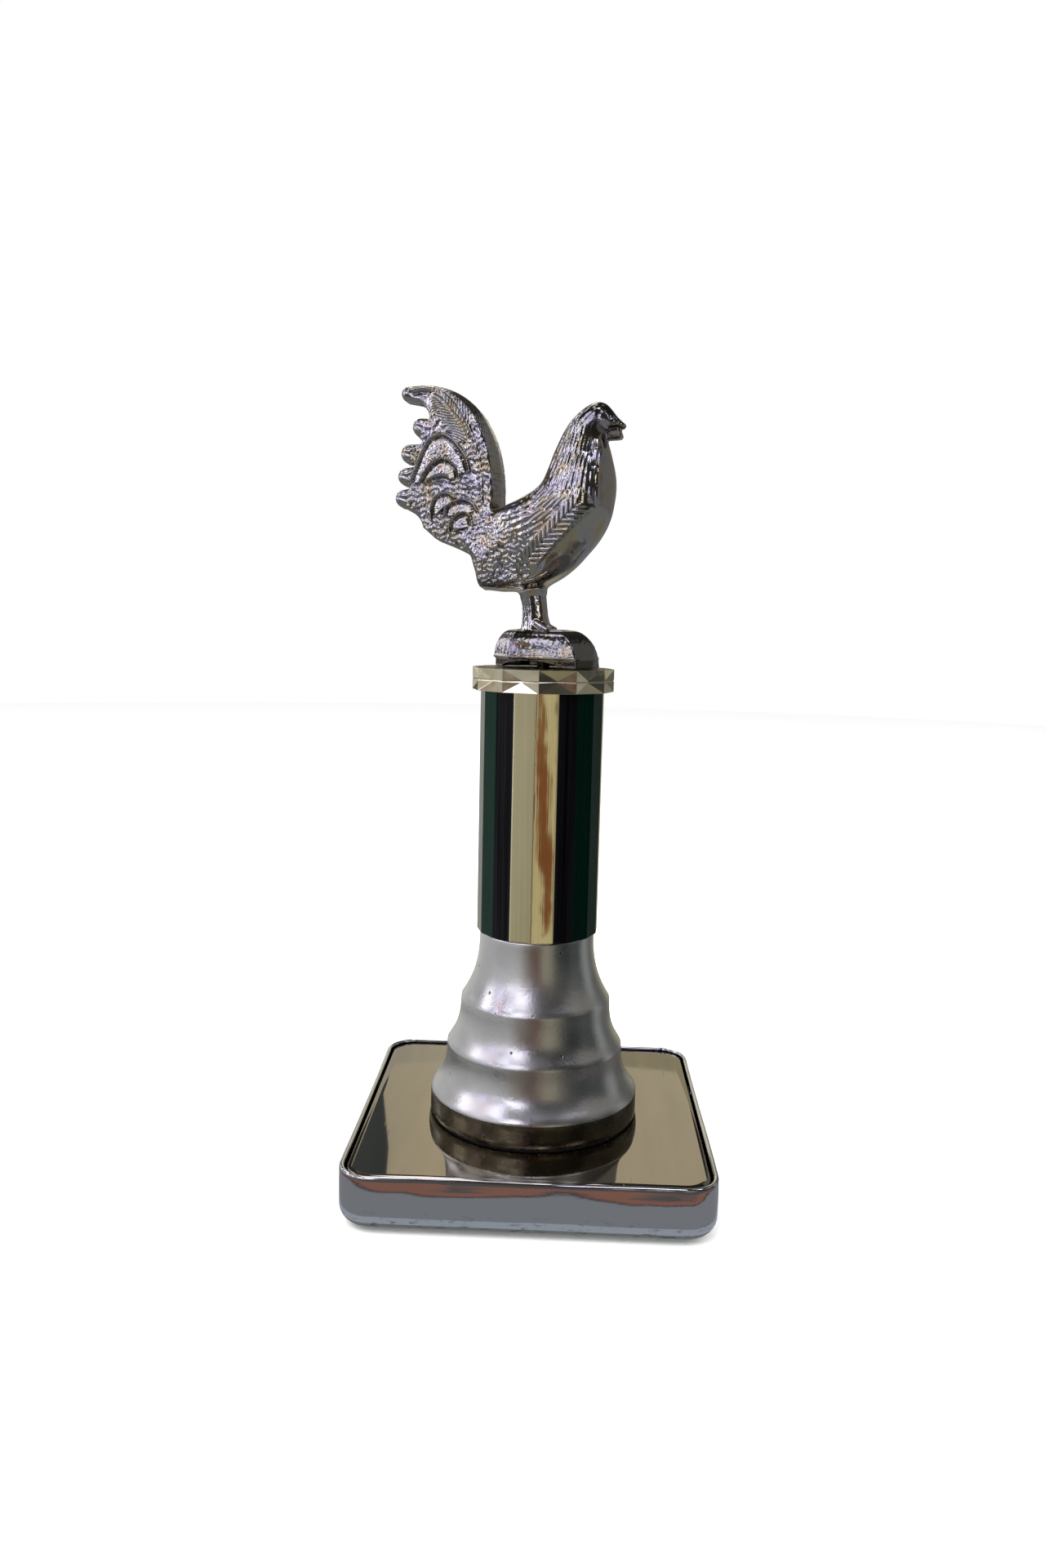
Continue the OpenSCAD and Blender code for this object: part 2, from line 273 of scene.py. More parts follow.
def buffed_aluminium():
    """Sand-cast aluminium, buffed: bright, with the orange peel of the mould and a few open pits."""
    made, tree, at = finish("buffed_cast_aluminium")
    tone = add(tree, "ShaderNodeTexNoise", {"Vector": at, "Scale": 70, "Detail": 3})
    peel = add(tree, "ShaderNodeTexNoise", {"Vector": at, "Scale": 900, "Detail": 2})
    cells = add(tree, "ShaderNodeTexVoronoi", {"Vector": at, "Scale": 130})
    pit = add(tree, "ShaderNodeValToRGB", {"Fac": cells}, [(0.05, 0.25), (0.085, 1.0)])
    colour = add(tree, "ShaderNodeValToRGB", {"Fac": tone}, [(0.3, "#c6c6c6"), (0.7, "#d9d9d8")])
    stained = add(tree, "ShaderNodeMix", {"Factor": 1.0, 6: colour, 7: pit}, data_type="RGBA",
                  blend_type="MULTIPLY", out=2)
    gloss = add(tree, "ShaderNodeValToRGB", {"Fac": tone}, [(0.3, 0.25), (0.7, 0.34)])
    rough = add(tree, "ShaderNodeBump", {"Height": peel, "Distance": 0.045 * MM})
    holes = add(tree, "ShaderNodeBump", {"Height": pit, "Distance": 0.2 * MM, "Normal": rough})
    return coat(made, stained, gloss, holes)


def smoked_mirror():
    """Smoked mirror glass: dark and sharp, with wiped smears and a few hairline scratches."""
    made, tree, at = finish("smoked_mirror_glass")
    wiped = add(tree, "ShaderNodeMapping", {"Vector": at, "Rotation": (0, 0, 0.5), "Scale": (1, 0.12, 1)})
    smear = add(tree, "ShaderNodeTexNoise", {"Vector": wiped, "Scale": 60, "Detail": 5})
    scratch = add(tree, "ShaderNodeTexNoise", {"Vector": wiped, "Scale": 700, "Detail": 1})
    lines = add(tree, "ShaderNodeValToRGB", {"Fac": scratch}, [(0.72, 0.0), (0.76, 0.12)])
    colour = add(tree, "ShaderNodeValToRGB", {"Fac": smear}, [(0.3, "#8f8a80"), (0.7, "#a39c8d")])
    gloss = add(tree, "ShaderNodeValToRGB", {"Fac": smear}, [(0.45, 0.03), (0.75, 0.1)])
    return coat(made, colour, add(tree, "ShaderNodeMath", {0: gloss, 1: lines}, operation="ADD"))


def chromed_sheet():
    """Pressed sheet steel, chromed bright: it ripples where it was drawn, and its low side is scuffed."""
    made, tree, at = finish("chromed_pressed_sheet")
    height = add(tree, "ShaderNodeSeparateXYZ", {"Vector": at}, out="Z")
    low = add(tree, "ShaderNodeMapRange", {"Value": height, "From Min": 10 * MM, "From Max": 1 * MM})
    streaky = add(tree, "ShaderNodeMapping", {"Vector": at, "Scale": (0.3, 0.3, 1)})
    speck = add(tree, "ShaderNodeTexNoise", {"Vector": streaky, "Scale": 700, "Detail": 5, "Roughness": 0.7})
    chips = add(tree, "ShaderNodeValToRGB", {"Fac": speck}, [(0.55, 0.0), (0.68, 1.0)])
    worn = add(tree, "ShaderNodeMath", {0: low, 1: chips}, operation="MULTIPLY")
    colour = add(tree, "ShaderNodeValToRGB", {"Fac": worn}, [(0.0, "#c9ccd2"), (0.6, "#6c6e74")])
    gloss = add(tree, "ShaderNodeValToRGB", {"Fac": worn}, [(0.0, 0.05), (0.5, 0.35)])
    drawn = add(tree, "ShaderNodeTexNoise", {"Vector": at, "Scale": 45, "Detail": 1})
    ripple = add(tree, "ShaderNodeBump", {"Height": drawn, "Distance": 0.5 * MM})
    dents = add(tree, "ShaderNodeBump", {"Height": speck, "Distance": 0.01 * MM, "Normal": ripple})
    return coat(made, colour, gloss, dents)


def plain_stock(name, low, high, grain_mm, rough, metallic=0.0, depth_mm=0.03, stretch=(1, 1, 1)):
    """Bought-in stock such as plated steel, wood, board, rubber or felt: mottled at its grain's own size."""
    made, tree, at = finish(name)
    placed = add(tree, "ShaderNodeMapping", {"Vector": at, "Scale": stretch})
    mottle = add(tree, "ShaderNodeTexNoise", {"Vector": placed, "Scale": 1 / (grain_mm * MM), "Detail": 4})
    colour = add(tree, "ShaderNodeValToRGB", {"Fac": mottle}, [(0.3, low), (0.7, high)])
    gloss = add(tree, "ShaderNodeValToRGB", {"Fac": mottle}, [(0.3, rough), (0.7, rough * 0.8)])
    relief = add(tree, "ShaderNodeBump", {"Height": mottle, "Distance": depth_mm * MM})
    return coat(made, colour, gloss, relief, metallic)


CHROMED_CASTING = chromed_casting()
METALLISED = metallised_plastic()
GOLD_FOIL = stamped_foil("gold_foil", "#cfc59c", "#d6cca6", 1.0, 0.05, 0.03, 0.06)
GREEN_FOIL = stamped_foil("green_foil", "#072b22", "#0a342a", 0.9, 0.14, 0.08)
BLACK_FOIL = stamped_foil("black_foil", "#0a0a0c", "#201f24", 0.85, 0.16, 0.1)
FOIL_EDGE = stamped_foil("foil_edge", "#efe3bd", "#fbf2d4", 1.0, 0.3, 0.2)
ALUMINIUM = buffed_aluminium()
DULL_FOOT = plain_stock("bronzed_aluminium_foot", "#5f584a", "#7d7564", 5, 0.3, 1.0, 0.05)
SMOKED_MIRROR = smoked_mirror()
CHROMED_SHEET = chromed_sheet()
ZINC_PLATE = plain_stock("zinc_plated_steel", "#8d8b84", "#b3b0a6", 1.5, 0.32, 1.0, 0.01)
THREAD_STEEL = plain_stock("dulled_thread_steel", "#3a3936", "#6d6a62", 0.8, 0.4, 1.0, 0.01)
PLUG_WOOD = plain_stock("turned_beech", "#a98457", "#c9a678", 2, 0.6, 0.0, 0.05, (1, 1, 0.1))
FIBRE_BOARD = plain_stock("pressed_fibre_board", "#7d6040", "#9a7a54", 1, 0.85)
RUBBER = plain_stock("black_rubber", "#0c0c0c", "#1a1a1a", 1.5, 0.75)
FELT = plain_stock("green_felt", "#16301f", "#27492f", 0.5, 1.0, 0.0, 0.2)


# ---------- Base ----------

def square_ring(half, radius, z, per_corner=14, per_side=18):
    """Points round a square with round corners, with points along its sides too."""
    reach = half - radius
    side = [(half, v, z) for v in np.linspace(-reach, reach, per_side + 2)[1:-1]]
    corner = [(reach + radius * math.cos(a), reach + radius * math.sin(a), z)
              for a in np.linspace(0, math.pi / 2, per_corner)]
    quarter = np.array(side + corner)
    turn = np.array([[0, 1, 0], [-1, 0, 0], [0, 0, 1]])
    ring = []
    for _ in range(4):
        ring.append(quarter)
        quarter = quarter @ turn
    return np.vstack(ring)


def round_ring(like, radius, z):
    """A circle with one point at the bearing of each point of another ring."""
    bearing = np.arctan2(like[:, 1], like[:, 0])
    return np.column_stack([radius * np.cos(bearing), radius * np.sin(bearing), np.full(len(like), z)])


def make_tray():
    """Pressed tray: nut well, floor, round lower edge, upright flank and rolled rim, all one sheet."""
    half, floor, rim = TRAY_HIGH[0], TRAY_LOW[2], TRAY_HIGH[2]
    corner, edge, sheet, bead = 12.0, 6.0, 0.8, 0.9
    hole, well, roof = 2.8, 14.0, floor + 9.0
    like = square_ring(half, corner, floor)
    rings = [round_ring(like, r, z) for r, z in
             ((hole, roof - sheet), (well - 0.8, roof - sheet), (well, roof - 1.6), (well, floor + 0.6),
              (well + sheet, floor))]
    quarter = np.linspace(0, math.pi / 2, 10)
    profile = [(edge + 20, floor)]
    profile += [(edge - edge * math.sin(a), floor + edge - edge * math.cos(a)) for a in quarter]
    profile += [(0.0, z) for z in np.linspace(floor + edge + 1.5, rim - 2 * bead, 6)]
    profile += [(bead - bead * math.cos(a), rim - bead + bead * math.sin(a))
                for a in np.linspace(0, math.pi * 1.3, 14)]
    profile += [(sheet, rim - 3.0), (sheet, floor + edge)]
    profile += [(edge - (edge - sheet) * math.sin(a), floor + edge - (edge - sheet) * math.cos(a))
                for a in quarter[::-1]]
    rings += [square_ring(half - inset, max(corner - inset, 1.2), z) for inset, z in profile]
    rings += [round_ring(like, r, z) for r, z in
              ((well + 2 * sheet, floor + sheet), (well + sheet, floor + 1.6), (well + sheet, roof - 0.6),
               (well + 0.2, roof), (hole, roof))]
    rings = np.array(rings + rings[:1])
    # The rim was knocked about in use, so it dips by a few tenths of a millimetre and its flank waves.
    x, y, z = rings[..., 0], rings[..., 1], rings[..., 2]
    loose = smoothstep(rim - 7, rim - 1, z)
    z -= loose * (0.16 + 0.1 * np.sin(x * 0.071 + 1.3) + 0.06 * np.sin(y * 0.11 + x * 0.03))
    flank = smoothstep(half - 2.5, half - 0.5, np.maximum(abs(x), abs(y))) * loose
    pull = 1 - flank * (0.0035 + 0.0025 * np.sin(x * 0.09 + y * 0.05 + 0.7))
    rings[..., :2] *= pull[..., None]
    return dress(outward(mesh_piece("tray_pressing", *loft(rings))), CHROMED_SHEET)


def make_plate():
    """Mirror plate, with the edge of its face ground off."""
    half, top, bottom = PLATE_HIGH[0], PLATE_HIGH[2], PLATE_LOW[2]
    corner, hole, middle = 9.3, 2.8, 45.0
    like = square_ring(half, corner, top)
    rings = [round_ring(like, hole, bottom)]
    rings += [square_ring(half - inset, corner - inset, z) for inset, z in
              ((0.3, bottom), (0, bottom + 0.3), (0, top - 0.5), (0.12, top - 0.15), (0.5, top), (3, top))]
    rings += [round_ring(like, middle, top), round_ring(like, hole, top)]
    return dress(outward(mesh_piece("smoked_mirror_plate", *loft(rings + rings[:1]))), SMOKED_MIRROR)


# ---------- Bell ----------

def flare(r0, h0, r1, h1):
    """One hollow flare of the bell, from an upper corner out to the ridge below it."""
    wide, tall = r1 - r0, h0 - h1
    return bezier((r0, h0), (r0 + 0.02 * wide, h0 - 0.45 * tall),
                  (r0 + 0.3 * wide, h1 + 0.3 * tall), (r1, h1), 16)


def make_bell():
    """Bell casting: three flares with rounded ridges, an upright foot band, and hollow inside."""
    foot, radius = BELL_LOW[2], BELL_HIGH[0]
    tall, hole, wall = BELL_HIGH[2] - foot, 2.9, 3.5
    outer = np.vstack([
        [(hole, tall), (20.4, tall), (21.0, tall - 0.12), (21.35, tall - 0.5)],
        flare(21.55, tall - 1.0, 28.0, 45.0), [(28.3, 44.5), (28.4, 43.9), (28.4, 43.3)],
        flare(28.45, 42.8, 33.0, 27.6), [(33.3, 27.0), (33.4, 26.4), (33.4, 25.9)],
        flare(33.45, 25.4, radius - 0.7, 10.2),
        [(radius - 0.25, 9.5), (radius, 8.7), (radius - 0.05, 6.0), (radius, 3.0), (radius, 0.4),
         (radius - 0.35, 0.0)]])
    inner = outer[::-1][6:-4] - np.array([wall, 0])
    roof = tall - wall
    profile = np.vstack([outer, [(radius - wall, 0.0)], inner, [(17.5, roof), (hole, roof), (hole, tall)]])
    rings = np.array([circle(r, foot + h, turns(192)) for r, h in profile])
    # Hand buffing left the flares very slightly out of round.
    bearing, z = np.arctan2(rings[..., 1], rings[..., 0]), rings[..., 2]
    worn = smoothstep(foot + 11, foot + 16, z) * smoothstep(foot + tall, foot + tall - 6, z)
    uneven = 1 - worn * (0.004 + 0.002 * np.sin(3 * bearing + 1) + 0.002 * np.sin(5 * bearing + z * 0.15))
    rings[..., :2] *= uneven[..., None]
    piece = dress(outward(mesh_piece("bell_shell", *loft(rings))), ALUMINIUM, DULL_FOOT)
    for face in piece.data.polygons:
        face.material_index = int(face.center.z / MM < foot + 8.9)
    return piece


# ---------- Column ----------

def make_column():
    """Facetted foil tube: green flats, and on two sides a gold pair between black ones."""
    low, high = TUBE_LOW[2], TUBE_HIGH[2]
    sides, outer, bore, bevel = 18, 22.8, 20.0, 0.22
    facet = 2 * math.pi / sides
    front = math.radians(-90 - COLUMN_TURN)
    outline = []
    for i in range(sides):
        ends = circle(outer, 0, front + np.array([i, i + 1]) * facet)[:, :2]
        along = (ends[1] - ends[0]) / np.linalg.norm(ends[1] - ends[0])
        outline += [ends[0] + bevel * along, ends[1] - bevel * along]
    outline = np.array(outline)
    around = len(outline)
    round_bore = bore * outline / np.linalg.norm(outline, axis=1)[:, None]
    levels = [(low, 0.992), (low + 0.2, 1.0), (high - 0.2, 1.0), (high, 0.992)]
    rings = [np.column_stack([round_bore, np.full(around, low)])]
    rings += [np.column_stack([outline * s, np.full(around, z)]) for z, s in levels]
    rings += [np.column_stack([round_bore, np.full(around, high)])]
    piece = mesh_piece("column_foil_tube", *loft(rings + rings[:1]), smooth=False)
    dress(outward(piece), GREEN_FOIL, BLACK_FOIL, GOLD_FOIL, FOIL_EDGE)
    # The foil pattern fills half the turn and is stamped twice. Its gold pair meets at the front corner.
    pattern = [2, 1, 0, 0, 0, 0, 0, 1, 2]
    flat = 360 / sides
    for face in piece.data.polygons:
        bearing = math.degrees(math.atan2(face.center.y, face.center.x)) + 90 + COLUMN_TURN
        face.material_index = pattern[int(bearing // flat) % len(pattern)]
        beside = [pattern[int((bearing + turn) // flat) % len(pattern)] for turn in (-2, 2)]
        narrow = face.area < 2 * bevel * (high - low) * MM * MM
        if narrow and 2 in beside:
            face.material_index = 3
    return piece


# ---------- Cap ----------

def panel_repeat():
    """Geometry Nodes: one moulded panel repeated round a ring, joined and dressed."""
    tree = bpy.data.node_groups.new("panels_round_a_ring", "GeometryNodeTree")
    tree.interface.new_socket("Panel", in_out="INPUT", socket_type="NodeSocketGeometry")
    tree.interface.new_socket("Panel count", in_out="INPUT", socket_type="NodeSocketInt")
    tree.interface.new_socket("Plastic", in_out="INPUT", socket_type="NodeSocketMaterial")
    tree.interface.new_socket("Ring", in_out="OUTPUT", socket_type="NodeSocketGeometry")
    given = add(tree, "NodeGroupInput").node.outputs
    seats = add(tree, "GeometryNodePoints", {"Count": given["Panel count"]})
    index = add(tree, "GeometryNodeInputIndex")
    step = add(tree, "ShaderNodeMath", {0: 2 * math.pi, 1: given["Panel count"]}, operation="DIVIDE")
    turn = add(tree, "ShaderNodeMath", {0: index, 1: step}, operation="MULTIPLY")
    bearing = add(tree, "ShaderNodeCombineXYZ", {"Z": turn})
    placed = add(tree, "GeometryNodeInstanceOnPoints",
                 {"Points": seats, "Instance": given["Panel"], "Rotation": bearing})
    real = add(tree, "GeometryNodeRealizeInstances", {"Geometry": placed})
    joined = add(tree, "GeometryNodeMergeByDistance", {"Geometry": real, "Distance": 3e-6})
    done = add(tree, "GeometryNodeSetMaterial", {"Geometry": joined, "Material": given["Plastic"]})
    add(tree, "NodeGroupOutput", {"Ring": done})
    return tree


PANEL_REPEAT = panel_repeat()
PANELS = 12


def make_cap_ring(name, low, high, bore, seam_up):
    """Half of the faceted cap: each panel slopes in from the outer edge to a point at the seam."""
    radius = UPPER_HIGH[0]
    half = math.pi / PANELS
    seam, edge = (high, low) if seam_up else (low, high)
    away = -1 if seam_up else 1

    def at(bearing, r, z):
        return (r * math.cos(bearing), r * math.sin(bearing), z)

    rib = radius / math.cos(half) * 0.985
    lip = seam + away * 0.35
    points = [at(-half, rib * 0.98, edge), at(half, rib * 0.98, edge),
              at(-half, rib * 0.98, lip), at(half, rib * 0.98, lip), at(0, radius * 0.97 - 1.5, lip),
              at(-half, rib * 0.972, seam), at(half, rib * 0.972, seam), at(0, radius * 0.97 - 1.6, seam),
              at(-half, bore, edge), at(half, bore, edge), at(-half, bore, seam), at(half, bore, seam)]
    faces = [(0, 1, 4), (0, 4, 2), (1, 3, 4), (2, 4, 7, 5), (4, 3, 6, 7), (5, 7, 6, 11, 10),
             (10, 11, 9, 8), (8, 9, 1, 0)]
    panel = mesh_piece(name, points, faces, smooth=False)
    # A corner of the cap ended two degrees left of the front when it was screwed down.
    panel.data.transform(Matrix.Rotation(math.radians(-77), 4, "Z"))
    modifier = panel.modifiers.new("panels", "NODES")
    modifier.node_group = PANEL_REPEAT
    items = PANEL_REPEAT.interface.items_tree
    sockets = {item.name: item.identifier for item in items if item.in_out == "INPUT"}
    modifier[sockets["Panel count"]] = PANELS
    modifier[sockets["Plastic"]] = METALLISED
    return dress(soften(outward(settle(panel)), 0.08, 2, 12), METALLISED)


# ---------- Fasteners ----------

def make_rod():
    """Threaded rod: its radius falls to the root of the thread once a turn, along a helix."""
    pitch, depth, around = 0.8, 0.42, 24
    low, high, radius = ROD_LOW[2], ROD_HIGH[2], ROD_HIGH[0]
    rows = int((high - low) / pitch * 5)
    turn = turns(around)
    rings = [circle(0, low, turn)]
    for z in np.linspace(low, high, rows):
        phase = (z / pitch - turn / (2 * math.pi)) % 1
        r = radius - depth * abs(2 * phase - 1) - 0.5 * smoothstep(0.6, 0.0, min(z - low, high - z))
        rings.append(circle(r, z, turn))
    rings.append(circle(0, high, turn))
    return dress(outward(mesh_piece("threaded_rod", *loft(rings))), THREAD_STEEL)


def make_nut(name, node):
    """Hexagonal nut whose corners are turned down to a cone at both faces."""
    low, high = place(node)
    flat = min(high[0] - low[0], high[1] - low[1]) / 2
    tall, bore, around = high[2] - low[2], 2.58, 96
    turn = turns(around)
    hexagon = flat / np.cos((turn + math.pi / 6 + (high[0] - low[0] < high[1] - low[1]) * math.pi / 6)
                            % (math.pi / 3) - math.pi / 6)
    rings = []
    for z, inset in ((0, 0.35), (0.35, 0), (tall - 0.35, 0), (tall, 0.35)):
        r = np.minimum(hexagon, flat / math.cos(math.pi / 6) - 1.6 * inset)
        rings.append(circle(r, low[2] + z, turn))
    rings += [circle(bore, low[2] + z, turn) for z in (tall, 0)]
    return dress(outward(mesh_piece(name, *loft(rings + rings[:1]), smooth=False)), ZINC_PLATE)


# ---------- Rooster ----------
# The casting is solid where a field is above zero. The field is near a distance in millimetres, so features
# are added to it as heights. Both halves of the mould are alike, so it is worked out for one half.

def outline_distance(s, h, outline):
    """Distance inside a closed outline, negative outside it."""
    near = np.full(s.shape, 1e9)
    inside = np.zeros(s.shape, bool)
    for (ax, ay), (bx, by) in zip(outline, np.roll(outline, -1, axis=0)):
        dx, dy = bx - ax, by - ay
        t = np.clip(((s - ax) * dx + (h - ay) * dy) / (dx * dx + dy * dy + 1e-12), 0, 1)
        near = np.minimum(near, (s - ax - t * dx) ** 2 + (h - ay - t * dy) ** 2)
        crosses = (ay > h) != (by > h)
        if ay != by:
            inside ^= crosses & (s < ax + (h - ay) / (by - ay) * dx)
    return np.where(inside, 1, -1) * np.sqrt(near)


def line_distance(s, h, points):
    """Distance to an open line, and how far along it the nearest point is."""
    points = np.array(points, float)
    near, along, walked = np.full(s.shape, 1e9), np.zeros(s.shape), 0.0
    for (ax, ay), (bx, by) in zip(points[:-1], points[1:]):
        dx, dy = bx - ax, by - ay
        length = math.hypot(dx, dy)
        t = np.clip(((s - ax) * dx + (h - ay) * dy) / length ** 2, 0, 1)
        gap = np.hypot(s - ax - t * dx, h - ay - t * dy)
        along = np.where(gap < near, walked + t * length, along)
        near = np.minimum(near, gap)
        walked += length
    return near, along


def spline(points, per_span=6, closed=False):
    """A smooth line through given points."""
    points = np.array(points, float)
    count = len(points)
    spans = count if closed else count - 1
    out = []
    for i in range(spans):
        pick = [(i - 1) % count, i, (i + 1) % count, (i + 2) % count]
        if not closed:
            pick = [min(max(i + k, 0), count - 1) for k in (-1, 0, 1, 2)]
        p0, p1, p2, p3 = points[pick]
        for f in np.arange(per_span) / per_span:
            out.append(0.5 * (2 * p1 + (p2 - p0) * f + (2 * p0 - 5 * p1 + 4 * p2 - p3) * f * f
                              + (3 * p1 - p0 - 3 * p2 + p3) * f ** 3))
    if not closed:
        out.append(points[-1])
    return np.array(out)


def chance(i, j=0):
    """A fixed random number from 0 to 1 for each pair of whole numbers."""
    return np.modf(np.abs(np.sin(i * 12.9898 + j * 78.233 + 0.5) * 43758.5453))[0]


def strokes(across, along, pitch, length):
    """Staggered raised strokes, as a graver leaves them: 0 in the cuts, up to 1 on top."""
    row = np.floor(across / pitch)
    shifted = along / length + chance(row) * 3
    step = np.floor(shifted)
    ridge = np.sin(math.pi * (across / pitch - row))
    run = np.sin(math.pi * (shifted - step)) ** 0.5
    return ridge * run * (0.55 + 0.45 * chance(row, step))


def bumps(s, h, size):
    """Rounded dabs of about one size, all unlike."""
    s = s + 0.35 * size * np.sin(h * 2.1 / size)
    h = h + 0.35 * size * np.sin(s * 1.7 / size + 1)
    i, j = np.floor(s / size), np.floor(h / (size * 1.5))
    return (np.sin(math.pi * (s / size - i)) * np.sin(math.pi * (h / (size * 1.5) - j))) ** 0.7 * chance(i, j)


def soft_max(a, b, radius):
    """Greater of two fields, rounded off where they meet."""
    blend = np.maximum(radius - abs(a - b), 0) / radius
    return np.maximum(a, b) + blend * blend * radius / 4


def skin(field, origin, step):
    """Closed mesh where a field passes zero, with one vertex in each cell that the surface crosses."""
    inside = field > 0
    cells = np.array(field.shape) - 1
    corners = [(i, j, k) for i in (0, 1) for j in (0, 1) for k in (0, 1)]
    filled = sum(inside[i:i + cells[0], j:j + cells[1], k:k + cells[2]].astype(np.int8)
                 for i, j, k in corners)
    crossed = np.argwhere((filled > 0) & (filled < 8))
    number = np.full(cells, -1, np.int32)
    number[tuple(crossed.T)] = np.arange(len(crossed))
    total, hits = np.zeros((len(crossed), 3)), np.zeros((len(crossed), 1))
    for a in corners:
        for axis in range(3):
            if a[axis]:
                continue
            b = tuple(a[k] + (k == axis) for k in range(3))
            value_a, value_b = field[tuple((crossed + a).T)], field[tuple((crossed + b).T)]
            cut = (value_a > 0) != (value_b > 0)
            t = np.where(cut, value_a / np.where(cut, value_a - value_b, 1), 0)
            total += (np.array(a) + t[:, None] * (np.array(b) - a)) * cut[:, None]
            hits += cut[:, None]
    verts = (crossed + total / hits) * step + origin
    faces = []
    for axis in range(3):
        edge = np.argwhere(np.diff(inside, axis=axis))
        for side in {0, 1, 2} - {axis}:
            edge = edge[(edge[:, side] > 0) & (edge[:, side] < cells[side])]
        one, two = [np.eye(3, dtype=int)[k] for k in range(3) if k != axis]
        shifts = (0 * one, one, one + two, two)
        around = np.stack([number[tuple((edge - shift).T)] for shift in shifts], axis=1)
        flip = inside[tuple(edge.T)] ^ (axis == 1)
        faces.append(np.where(flip[:, None], around, around[:, ::-1]))
    return verts, np.vstack(faces)


def cast_mesh(verts, faces):
    """The casting from bird coordinates, eased once, turned to its bearing and set on its foot."""
    mesh = bpy.data.meshes.new("casting")
    mesh.from_pydata(verts.tolist(), [], faces.tolist())
    mesh.transform(Matrix.Scale(MM, 4) @ Matrix.Translation((0, 0, BIRD_FOOT)) @ BIRD_TURN)
    whole = bpy.data.objects.new("casting", mesh)
    bpy.context.scene.collection.objects.link(whole)
    ease = whole.modifiers.new("ease", "SMOOTH")
    ease.factor = 0.3
    ease.iterations = 1 if len(faces) < 90000 else 2
    return outward(settle(whole))


def cast_pieces(names, whole, hollow, feathered):
    """Share the casting out along its length, each piece keeping the whole casting's normals at the joins."""
    mesh = whole.data
    places, normals = np.empty(len(mesh.vertices) * 3), np.empty(len(mesh.vertices) * 3)
    quads = np.empty(len(mesh.loops), int)
    mesh.vertices.foreach_get("co", places)
    mesh.vertex_normals.foreach_get("vector", normals)
    mesh.loops.foreach_get("vertex_index", quads)
    places, normals, quads = places.reshape(-1, 3), normals.reshape(-1, 3), quads.reshape(-1, 4)
    along = places @ np.array(BIRD_TURN.to_3x3().col[0])
    middle = along[quads].mean(axis=1)
    cuts = np.quantile(middle, np.arange(1, len(names)) / len(names))
    share = np.searchsorted(cuts, middle)
    high = places[:, 2] / MM - BIRD_FOOT
    pieces = []
    for i, name in enumerate(names):
        used, faces = np.unique(quads[share == i], return_inverse=True)
        piece = mesh_piece(name, places[used] / MM, faces.reshape(-1, 4).tolist())
        piece.data.normals_split_custom_set_from_vertices(normals[used].tolist())
        # The hollow attribute is painted shade; feathered marks the unpolished chrome.
        for label, measure in (("hollow", hollow), ("feathered", feathered)):
            mark = piece.data.attributes.new(label, "FLOAT", "POINT")
            mark.data.foreach_set("value", measure(along[used] / MM, high[used]))
        pieces.append(dress(piece, CHROMED_CASTING))
    bpy.data.objects.remove(whole)
    return pieces


def blur(grid, reach):
    """Mean over a square of cells, along each axis in turn."""
    width = 2 * reach + 1
    for axis in (0, 1):
        margins = [(reach + 1, reach) if k == axis else (0, 0) for k in (0, 1)]
        total = np.cumsum(np.pad(grid, margins, "edge"), axis)
        size = total.shape[axis]
        grid = np.take(total, range(width, size), axis) - np.take(total, range(size - width), axis)
        grid = grid / width
    return grid


def tail_outline():
    """Upright fan: hooked sickle feather on top, four round tips behind, and the lower edge."""
    return np.vstack([
        bezier((-18, 56), (-17.5, 67), (-18.5, 78), (-24.5, 87.5), 14),
        bezier((-24.5, 87.5), (-29, 96), (-40, 102.2), (-51, 101.5), 14),
        arc((-54.8, 98.3), 3.2, 80, 250), bezier((-52.5, 94.6), (-48, 94.3), (-45.5, 91), (-46, 88), 6),
        arc((-49.6, 86.2), 3.8, 60, 235), [(-49.2, 80.8)], arc((-54.2, 76.8), 4.0, 85, 250), [(-52.4, 72.6)],
        arc((-55.7, 68.6), 3.7, 95, 255), [(-54.4, 64.7)], arc((-56.6, 60.6), 3.8, 100, 270),
        bezier((-52, 54.5), (-48.5, 52), (-48.5, 50), (-48, 48.5), 6),
        bezier((-42.5, 44.8), (-36, 42.4), (-30, 40.6), (-26, 37), 6),
        [(-24, 27), (-16, 27), (-10, 40), (-12, 50)]])


BODY_OUTLINE = spline([
    (-20, 55), (-14, 58.2), (-8.6, 60.6), (-4.5, 62.8), (-1.2, 65.6), (0.9, 70), (2.7, 75.1), (4.4, 78.8),
    (6.1, 82.2), (8.6, 86), (11.7, 89), (15, 91.3), (18.4, 92.4), (21.2, 91.7), (23.4, 89.7),
    (25.4, 87.3), (27.3, 85.5), (28.7, 84.2), (28, 82.8), (25.6, 82.8), (23, 82.4), (21.8, 80.8),
    (22.3, 78.6), (23.4, 75.1), (24.3, 71.5), (25, 68), (25.3, 64.4), (25.2, 60.8), (24.7, 57.2),
    (24, 53.7), (22.5, 49.6), (20.5, 46), (18, 42.6), (15.2, 39.5), (11.9, 36), (8.2, 33), (4.3, 30.6),
    (0, 28.6), (-5, 27.2), (-11, 26.6), (-18, 26.8), (-23.6, 28.2), (-25.2, 32), (-26, 37), (-29, 41),
    (-31, 46), (-27, 52)], 5, closed=True)

# Half width and edge radius of the body, at places along it
BODY_FORM = [(12, 55, 12.4, 11), (0, 48, 12.2, 11), (-14, 44, 9.6, 6), (-20, 31, 8.2, 2.2), (-8, 32, 9.4, 4),
             (-25, 50, 6.8, 2), (13, 66, 11.6, 10), (12, 76, 8.8, 8.5), (14, 84, 6.8, 7), (20, 87, 5.5, 5),
             (27, 84, 1.9, 1.4), (21, 46, 11, 9)]

